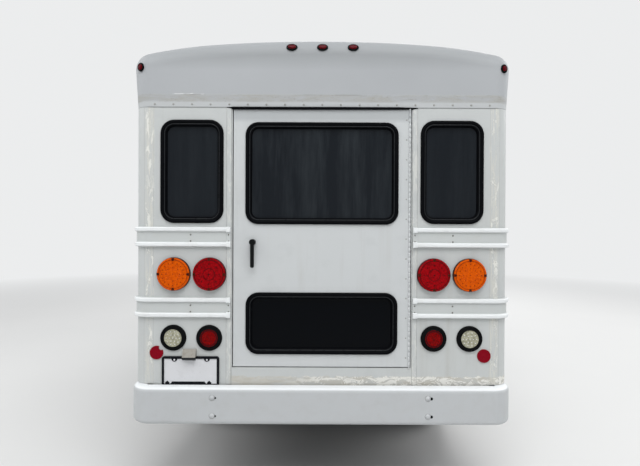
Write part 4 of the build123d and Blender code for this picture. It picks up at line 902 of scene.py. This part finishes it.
BOLTS = (
    # bolt x, hole x, hole radius
    (-0.591, -0.5725, 0.0050), (0.578, 0.597, 0.0080))
collars = bmesh.new()
holes = bmesh.new()
for x, hole_x, radius in BOLTS:
    for z in (0.589, 0.491):
        # A grey ring round each bolt head, where it meets the bumper
        swept_ring(collars, circle(0.0152, 28), facing(x, Y_BUMPER, z), mm((1.2, 0), (0, 1.1), (-2, 0)))
        # Each spare hole is a thin dark disc: painted shadow
        slab(holes, circle(radius, 20), facing(hole_x, Y_BUMPER - 0.0004, z - 0.001), 0.0004)
piece("bolt_collars", collars, "collar")
piece("bumper_hole_shadows", holes, "hole")


# Blank licence plate, its screws and the frame's tabs

PLATE_X, PLATE_Z = -0.7245, 0.713
PLATE_SCREWS = (-0.813, -0.633)
BORDER = mm((0.6, 0), (0.6, 8.2), (-0.8, 9.8), (-11.2, 9.8), (-12.6, 8.4), (-12.6, 0))
place = at_rear(PLATE_X, PLATE_Z, 0.005)
bm = made(slab, round_rect(0.298, 0.145, 0.008), place, 0.0012)
swept_ring(bm, round_rect(0.282, 0.131, 0.008), place, mm((1, 1), (0, 2), (-1, 1)))
piece("plate", bm, "plate")
edge = round_rect(0.3165, 0.1635, 0.014, 8)
piece("plate_border", made(swept_ring, edge, at_rear(PLATE_X, PLATE_Z), BORDER), "black_gloss")
tabs = bmesh.new()
screws = bmesh.new()
half_oval = [(-0.017 * math.cos(math.pi * k / 10), -0.019 * math.sin(math.pi * k / 10)) for k in range(11)]
for x in PLATE_SCREWS:
    slab(tabs, half_oval, at_rear(x, 0.786, 0.006), 0.0034)
    dome(screws, at_rear(x, 0.7765, 0.0092), 0.0052, 0.0028)
slab(tabs, mm((-114, -73.5), (91, -73.5), (78, -57), (-101, -57)), place, 0.003)
for x in (-128, 104):
    slab(tabs, mm((x - 9, -73.5), (x + 9, -73.5), (x + 13, -64), (x, -52), (x - 13, -64)), place, 0.0028)
piece("plate_tabs", tabs, "black_gloss")
piece("plate_screws", screws, "plate")


# Tyres with ribs, lateral cuts and moulded sidewalls

TREAD_HALF = 0.095
TREAD_RADIUS = 0.3868
TREAD_STEPS = 32
GROOVES = (-0.06, -0.021, 0.021, 0.06)
GROOVE_HALF = 0.0045
GROOVE_DEPTH = 0.009
LUGS = 60
LUG_STEPS = 4
SIDEWALL = mm(
    # distance from the middle, radius
    (89, 203.5), (98, 217.5), (104, 224), (110, 240), (115.5, 248), (116, 252), (118, 254), (120.5, 275),
    (122, 300), (120.5, 320), (121, 322.5), (120, 326), (117, 340), (111, 358), (106, 369))
CUTS = (
    # nearest and furthest distance from the middle, least radius, depth, steps between cuts
    (0.062, 0.096, 0.38, 0.0075, LUG_STEPS), (0.0, 0.058, 0.38, 0.0045, 2 * LUG_STEPS),
    (0.096, 0.13, 0.355, 0.004, LUG_STEPS))


def tyre_rows():
    """(distance across, radius, groove depth) rows from the outer bead over the tread to the inner bead."""
    tread = []
    for k in range(TREAD_STEPS + 1):
        x = TREAD_HALF * (1 - k / (TREAD_STEPS / 2))
        grooved = any(abs(x - c) < GROOVE_HALF for c in GROOVES)
        tread.append((x, TREAD_RADIUS - 0.004 * (x / TREAD_HALF) ** 4, GROOVE_DEPTH if grooved else 0.0))
    outer = [(x, r, 0.0) for x, r in SIDEWALL]
    inner = [(-x, r, 0.0) for x, r in reversed(SIDEWALL)]
    return outer + tread + inner


def tyre(bm, centre, side):
    rings = []
    for x, r, groove in tyre_rows():
        skew = 1 if x > 0 else 3
        cut, pitch = next(((depth, steps) for near, far, least, depth, steps in CUTS
                           if near <= abs(x) <= far and r > least), (0.0, 1))
        ring = []
        for k, a in enumerate(turn(LUGS * LUG_STEPS)):
            radius = r - max(groove, cut if (k + skew) % pitch == 0 else 0.0)
            y, z = polar(radius, a)
            ring.append(bm.verts.new((centre.x + side * x, centre.y + y, centre.z + z)))
        rings.append(ring)
    skin(bm, rings + rings[:1])


NUT_CIRCLE = 0.113
NUT = mm((16.5, 0), (16.5, 3), (12.5, 4), (12.2, 20), (10, 22.5), (0, 22.8))
STUD = mm((6, 22.5), (6, 30), (4, 31.5), (0, 31.5))
HUB_CAP = mm((45.5, 26), (45.5, 60), (43, 66.5), (39, 72.5), (34, 74.5), (20, 75.5), (18, 73.5), (0, 73.5))
for name in WHEELS:
    low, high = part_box(f"tyre_{name}")
    centre = (low + high) / 2
    side = 1 if centre.x > 0 else -1
    body = f"wheel_{name}"
    ob = piece(f"dressed_tyre_{name}", made(tyre, centre, side), "tyre", body, 35)
    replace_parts(ob, f"tyre_{name}")
    out = facing(*centre, 90 * side)
    bm = bmesh.new()
    for a in turn(8):
        spot = out @ Matrix.Translation((*polar(NUT_CIRCLE, a), 0.039))
        lathe(bm, NUT, spot, 6)
        lathe(bm, STUD, spot, 8)
    piece(f"wheel_nuts_{name}", bm, "bolt", body, 30)
    piece(f"hub_cap_{name}", made(lathe, HUB_CAP, out, 40), "bolt", body)
    bm = bmesh.new()
    for heights, radius in (((0.020, 0.045, 0.058), 0.0042), ((0.056, 0.067), 0.0052)):
        tube(bm, [out @ Vector((0.0, 0.186, z)) for z in heights], radius, 8)
    piece(f"valve_{name}", bm, "black", body)


# Cab: wipers, mirrors' glass, handle, filler door, lamps and the radiator behind the grille

SCREEN_FOOT = Vector((0, 1.985, 1.275))
SCREEN_TOP = Vector((0, 1.455, 1.985))
up = (SCREEN_TOP - SCREEN_FOOT).normalized()
out = Vector((0, up.z, -up.y))
screen = Matrix.Translation((SCREEN_FOOT + SCREEN_TOP) / 2) @ Matrix(
    ((-1, up.x, out.x, 0), (0, up.y, out.y, 0), (0, up.z, out.z, 0), (0, 0, 0, 1)))
bm = bmesh.new()
for pivot, tip in ((0.62, 0.10), (-0.02, -0.54)):
    start = Vector((pivot, -0.418, 0.004))
    end = Vector((tip + 0.22, -0.345, 0.016))
    tube(bm, [screen @ start, screen @ (start + Vector((-0.02, 0.004, 0.016))), screen @ end], 0.0055, 8)
    lathe(bm, mm((16, -2), (16, 8), (10, 16), (0, 17)), screen @ Matrix.Translation(start), 14)
    blade = [Vector((tip + d, -0.352 + 0.02 * math.sin(d * 3), 0.010)) for d in (0.0, 0.12, 0.24, 0.36, 0.46)]
    tube(bm, [screen @ p for p in blade], 0.0065, 6)
piece("wipers", bm, "black")

MIRROR_Z = 1.485
MIRROR_INSET = 0.0875
for side, name in SIDES.items():
    low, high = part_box(f"mirror_{name}")
    x = high.x - MIRROR_INSET if side > 0 else low.x + MIRROR_INSET
    bm = bmesh.new()
    for z, tall in ((MIRROR_Z + 0.042, 0.19), (MIRROR_Z - 0.101, 0.078)):
        slab(bm, round_rect(0.148, tall, 0.018), facing(x, low.y, z), 0.0022)
    body = "body" if side > 0 else "driver_door"
    piece(f"mirror_glass_{name}", bm, "mirror", body, bevel=0.0008)

place = facing(-CAB_HALF, 0.735, 1.175, -90)
bm = made(slab, round_rect(0.17, 0.062, 0.02), place, 0.004, -0.001)
tube(bm, [place @ Vector((x, 0, z)) for x, z in mm((-66, 3), (-50, 22), (50, 22), (66, 3))], 0.0085)
lathe(bm, mm((11, 3), (11, 6), (8, 7.5), (0, 7.5)), place @ Matrix.Translation((0, -0.052, -0.003)), 16)
piece("driver_door_handle", bm, "black", "driver_door", bevel=0.001)

FILLER_Y, FILLER_Z = 0.26, 0.845
place = at_side(-1, FILLER_Y, FILLER_Z)
bm = made(slab, round_rect(0.185, 0.175, 0.02), place, 0.0025, -0.0005)
slab(bm, round_rect(0.03, 0.012, 0.004), at_side(-1, FILLER_Y - 0.085, FILLER_Z), 0.0065)
piece("filler_door", bm, "wall", bevel=0.001)
bm = made(swept_ring, round_rect(0.19, 0.18, 0.022), place, mm((2, 0), (2, 0.6), (0, 0.6), (0, 0)))
piece("filler_door_seam", bm, "seam")

LAMP_X, LAMP_Z = 0.70, 0.845
LAMP_WIDTH, LAMP_HEIGHT = 0.200, 0.142
FLUTE_STEPS = 4
FLUTES = 26
LENS_ROWS = 6
LAMP_TRIM = mm((6, 0), (5, 3), (-2, 4), (-9, -6), (-9, -14), (6, -14))


def fluted_lens(bm, place):
    """A bulged headlamp lens with upright flutes."""
    steps = FLUTE_STEPS * FLUTES
    rows = []
    for j in range(LENS_ROWS + 1):
        y = LAMP_HEIGHT * (j / LENS_ROWS - 0.5)
        bulge = 0.006 * (1 - (2 * j / LENS_ROWS - 1) ** 2)
        row = [(LAMP_WIDTH * (i / steps - 0.5), y, 0.0012 * math.sin(2 * math.pi * i / FLUTE_STEPS) + bulge)
               for i in range(steps + 1)]
        rows.append([bm.verts.new(place @ Vector(p)) for p in row])
    skin(bm, rows, closed=False)


for side, name in SIDES.items():
    bm = made(fluted_lens, facing(side * LAMP_X, 2.733, LAMP_Z, 180))
    piece(f"headlamp_lens_{name}", bm, "headlamp")
    place = facing(side * LAMP_X, 2.741, LAMP_Z, 180)
    bm = made(swept_ring, round_rect(0.218, 0.158, 0.02), place, LAMP_TRIM)
    piece(f"headlamp_trim_{name}", bm, "bolt", smooth=50)

bm = bmesh.new()
for x in range(-420, 440, 40):
    slab(bm, mm((x, -170), (x + 6, -170), (x + 6, 170), (x, 170)), facing(0, 2.496, 0.80, 180), 0.004)
slab(bm, round_rect(0.88, 0.36, 0.01), facing(0, 2.480, 0.80, 180), 0.016)
piece("radiator_core", bm, "chassis")

for side, name in SIDES.items():
    for y, z, x, colour in ((1.47, 0.56, CAB_HALF, "amber"), (-2.45, 0.75, HALF, "reflector")):
        bm = made(slab, round_rect(0.085, 0.034, 0.012), facing(side * x, y, z, 90 * side), 0.006)
        piece(f"side_reflector_{colour}_{name}", bm, colour, bevel=0.002)


# Rivet columns on the sides, between the windows and clear of the rails and wheel arches

REAR_AXLE = (-1.435, 0.387)
bm = bmesh.new()
for side in SIDES:
    for y in [0.485 - 0.76 * k for k in range(5)]:
        for z in [0.56 + 0.098 * j for j in range(17)]:
            clear = all(abs(z - middle) > 0.066 for middle in RAIL_MIDDLE)
            if clear and math.dist((y, z), REAR_AXLE) > 0.475:
                dome(bm, at_side(side, y, z), *SIDE_RIVET, 8)
piece("side_rivets", bm, "rivet")


# Window and door seals on the cab, and the rubber edges of the entrance leaves

def round_poly(corners, steps=8):
    """A polygon (u, v, radius) with round corners, as points."""
    out = []
    for k, (u, v, r) in enumerate(corners):
        if r == 0:
            out.append((u, v))
            continue
        p = Vector((u, v))
        a = (Vector(corners[k - 1][:2]) - p).normalized()
        b = (Vector(corners[(k + 1) % len(corners)][:2]) - p).normalized()
        half = a.angle(b) / 2
        centre = p + (a + b).normalized() * (r / math.sin(half))
        first = p + a * (r / math.tan(half)) - centre
        last = p + b * (r / math.tan(half)) - centre
        start = math.atan2(first.y, first.x)
        swing = math.atan2(first.x * last.y - first.y * last.x, first.dot(last))
        for j in range(steps + 1):
            x, y = polar(r, start + swing * j / steps)
            out.append((centre.x + x, centre.y + y))
    return out


GASKET = mm((7, -1), (7, 3), (3, 5.5), (-5, 5.5), (-11, 1), (-13, -15.5), (-2, -15.5), (-2, -1))
SCREEN = ((-0.885, -0.393, 0.09), (0.885, -0.393, 0.09), (0.85, 0.388, 0.09), (-0.85, 0.388, 0.09))
piece("windshield_gasket", made(swept_ring, round_poly(SCREEN, 10), screen, GASKET), "rubber", smooth=50)

LEAN = math.atan2(0.045, 0.695)
LEAN_FOOT = 1.29
CAB_WINDOWS = (
    # side, body, name, (y, z, radius) corners
    (-1, "driver_door", "driver_window", ((0.70, 1.315, 0.035), (1.49, 1.315, 0.035), (1.49, 1.6367, 0),
                                          (1.286, 1.91, 0.035), (0.70, 1.91, 0.035))),
    (1, "body", "quarter_window", ((1.47, 1.315, 0.025), (1.805, 1.315, 0.025), (1.47, 1.865, 0.012))))
for side, body, name, corners in CAB_WINDOWS:
    place = facing(side * CAB_HALF, 0, LEAN_FOOT, 90 * side) @ Matrix.Rotation(-LEAN, 4, "X")
    edge = round_poly([(side * y, (z - LEAN_FOOT) / math.cos(LEAN), r) for y, z, r in corners])
    piece(f"{name}_gasket", made(swept_ring, edge[::side], place, GASKET), "rubber", body, 50)

LEAF_SPLIT = 0.995
LEAF_Z = (0.378, 2.048)
LEAF_EDGE = mm((4, 6), (0, 7.5), (-4.5, 5), (-4.5, -5), (0, -7.5), (4, -6))
LEAF_PANES = ((1.64, 0.64), (0.86, 0.70))
LEAF_GASKET = mm((7, -1), (7, 3), (2, 5), (-6, 4), (-9, -6), (-9, -12), (-2, -12), (-2, -1))
GRAB = ((-0.002, 1.06), (0.03, 1.075), (0.034, 1.16), (0.034, 1.27), (0.03, 1.355), (-0.002, 1.37))
for end, name in ((-1, "rear"), (1, "front")):
    body = f"entrance_{name}"
    edge = LEAF_SPLIT + end * 0.006
    loops = [[Vector((HALF - 0.022 + d * 1.8, edge + end * e, z)) for e, d in LEAF_EDGE] for z in LEAF_Z]
    piece(f"leaf_edge_{name}", made(loft, loops), "rubber", body, 50)
    bm = bmesh.new()
    for z, tall in LEAF_PANES:
        place = at_side(1, LEAF_SPLIT + end * 0.1875, z, -0.006)
        swept_ring(bm, round_rect(0.248, tall, 0.03, 8), place, LEAF_GASKET)
    piece(f"leaf_gasket_{name}", bm, "rubber", body, 50)
    bar = [(HALF - 0.038 - reach, LEAF_SPLIT + end * 0.045, z) for reach, z in GRAB]
    piece(f"leaf_grab_{name}", made(tube, bar, 0.009, 12), "bolt", body)


# Padded benches, barriers and the driver's seat

PAD_VOXEL = 0.011
PAD_PRESSURE = 4.0
PAD_FRAMES = 20
PAD_CAP = 0.022
PAD_SHARE = 0.25
PAD_SLACK = 0.010
SEAM_DEPTH = 0.008
SEAM_WIDTH = 0.016


def evaluated(ob):
    """A new mesh of an object as its modifiers leave it."""
    return bpy.data.meshes.new_from_object(ob.evaluated_get(bpy.context.evaluated_depsgraph_get()))


def blown(bm, held, cap):
    """Blows a pad's cover up with Blender's Cloth over its held points, no further than cap."""
    start = bpy.data.meshes.new("pad start")
    bm.to_mesh(start)
    bm.free()
    ob = add("pad start", start)
    voxels = ob.modifiers.new("voxels", "REMESH")
    voxels.mode = "VOXEL"
    voxels.voxel_size = PAD_VOXEL
    even = evaluated(ob)
    ob.modifiers.clear()
    ob.data = even
    group = ob.vertex_groups.new(name="held")
    group.add([v.index for v in even.vertices if held(v.co)], 1.0, "REPLACE")
    cloth = ob.modifiers.new("cover", "CLOTH")
    cloth.settings.vertex_group_mass = "held"
    cloth.settings.use_pressure = True
    cloth.settings.uniform_pressure_force = PAD_PRESSURE
    cloth.settings.effector_weights.gravity = 0
    for k in range(1, PAD_FRAMES + 1):
        scene.frame_set(k)
    swollen = evaluated(ob)
    scene.frame_set(1)
    out = bmesh.new()
    out.from_mesh(swollen)
    furthest = max((after.co - before.co).length for before, after in zip(even.vertices, out.verts))
    share = min(1, cap / furthest)
    for before, after in zip(even.vertices, out.verts):
        after.co = before.co.lerp(after.co, share)
    bpy.data.objects.remove(ob)
    for mesh in (start, even, swollen):
        bpy.data.meshes.remove(mesh)
    return out


covers = {}


def cover(size, crown, seams, face):
    """The mesh of one stuffed pad round the origin; pads of the same kind share it."""
    key = (size, crown, seams, face)
    if key in covers:
        return covers[key]
    bm = bmesh.new()
    bmesh.ops.create_cube(bm, size=2)
    bmesh.ops.subdivide_edges(bm, edges=bm.edges, cuts=17, use_grid_fill=True)
    others = [k for k in range(3) if k != face]
    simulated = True
    for v in bm.verts:
        p = list(v.co)
        norm = sum(abs(c) ** 9 for c in p) ** (1 / 9)
        p = [c / norm for c in p]
        swell = (1 - p[others[0]] ** 2) * (1 - p[others[1]] ** 2)
        waist = 1 - 0.018 * (1 - swell)
        q = [c * s / 2 for c, s in zip(p, size)]
        for k in others:
            q[k] *= waist
        if p[face] > 0.3 or crown < 0:
            q[face] += math.copysign(abs(crown) * swell - (PAD_SLACK * swell if simulated else 0), p[face])
        v.co = q
    if simulated:
        def held(co):
            return abs(co[face]) < size[face] * 0.2 if crown < 0 else co[face] < -size[face] * 0.1

        bm = blown(bm, held, min(PAD_CAP, PAD_SHARE * size[face]))
    for v in bm.verts:
        for at in seams:
            dent = SEAM_DEPTH * math.exp(-((2 * v.co.x / size[0] - at) * size[0] / 2 / SEAM_WIDTH) ** 2)
            v.co[face] -= math.copysign(min(dent, abs(v.co[face])), v.co[face])
    mesh = bpy.data.meshes.new("pad cover")
    bm.to_mesh(mesh)
    bm.free()
    covers[key] = mesh
    return mesh


def pad(name, centre, size, crown, seams=(), lean=0.0, face=2, replaced="bench_cushions"):
    """A stuffed pad, crowned on one face or, where crown is below 0, on two, with sewn channels across it.

    face is the axis that the crown swells along, and seams are places across X, from -1 to 1."""
    bm = bmesh.new()
    bm.from_mesh(cover(size, crown, seams, face))
    bm.transform(Matrix.Translation(centre) @ Matrix.Rotation(math.radians(lean), 4, "X"))
    ob = piece(name, bm, "vinyl", smooth=80)
    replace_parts(ob, replaced)


BENCH_X = (0.213, 1.002)
BENCH_COUNT = 5
BENCH_PITCH = 0.66
BENCH_SEAMS = (-0.33, 0.33)
BARRIER_Y = 0.494
middle = sum(BENCH_X) / 2
width = BENCH_X[1] - BENCH_X[0] - 0.006
for row in range(BENCH_COUNT):
    y = Y_BACK + 0.085 + BENCH_PITCH * row
    for side, name in SIDES.items():
        tag = f"{row + 1}_{name}"
        x = side * middle
        pad(f"bench_seat_{tag}", (x, y + 0.285, 1.094), (width, 0.372, 0.098), 0.008, BENCH_SEAMS)
        pad(f"bench_back_{tag}", (x, y + 0.043, 1.385), (width, 0.072, 0.664), -0.006, BENCH_SEAMS, 1, 1)
for side, name in SIDES.items():
    pad(f"barrier_pad_{name}", (side * middle, BARRIER_Y, 1.245), (width, 0.030, 0.62), -0.004, face=1)
    x = side * (BENCH_X[0] + 0.045)
    bm = made(tube, [(x, BARRIER_Y, z) for z in (Z_FLOOR, 0.76, 0.9, 1.0)], 0.014, 14)
    lathe(bm, mm((34, 0), (34, 4), (20, 8), (15, 20)), Matrix.Translation((x, BARRIER_Y, Z_FLOOR)), 20)
    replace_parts(piece(f"barrier_post_{name}", bm, "chassis"), "bench_cushions")

DRIVER_X = -0.46
SEAT_LOW = 1.0
SEAT_SEAMS = (-0.6, 0.6)
DRIVER_PADS = (
    # name, y, height over the seat's foot, size, crown, seams, lean, face
    ("cushion", 0.975, 0.058, (0.47, 0.44, 0.108), 0.010, SEAT_SEAMS, 0, 2),
    ("backrest", 0.775, 0.415, (0.46, 0.098, 0.63), -0.008, SEAT_SEAMS, 6, 1),
    ("headrest", 0.735, 0.81, (0.225, 0.066, 0.165), -0.006, (), 6, 1))
for name, y, lift, *form in DRIVER_PADS:
    pad(f"driver_{name}", (DRIVER_X, y, SEAT_LOW + lift), *form, "driver_seat")
FOLDS = 9
loops = []
for k in range(FOLDS + 1):
    z = Z_FLOOR + (SEAT_LOW + 0.004 - Z_FLOOR) * k / FOLDS
    grow = 0.012 if k % 2 else 0.0
    loops.append([Vector((DRIVER_X + x, 0.98 + y, z)) for x, y in round_rect(0.34 + grow, 0.30 + grow, 0.04)])
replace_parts(piece("driver_seat_base", made(loft, loops), "black", smooth=20), "driver_seat")
bm = bmesh.new()
for x in (-0.055, 0.055):
    tube(bm, [(DRIVER_X + x, 0.7485, 1.72), (DRIVER_X + x, 0.741, 1.76)], 0.006, 10)
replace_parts(piece("headrest_posts", bm, "bolt"), "driver_seat")
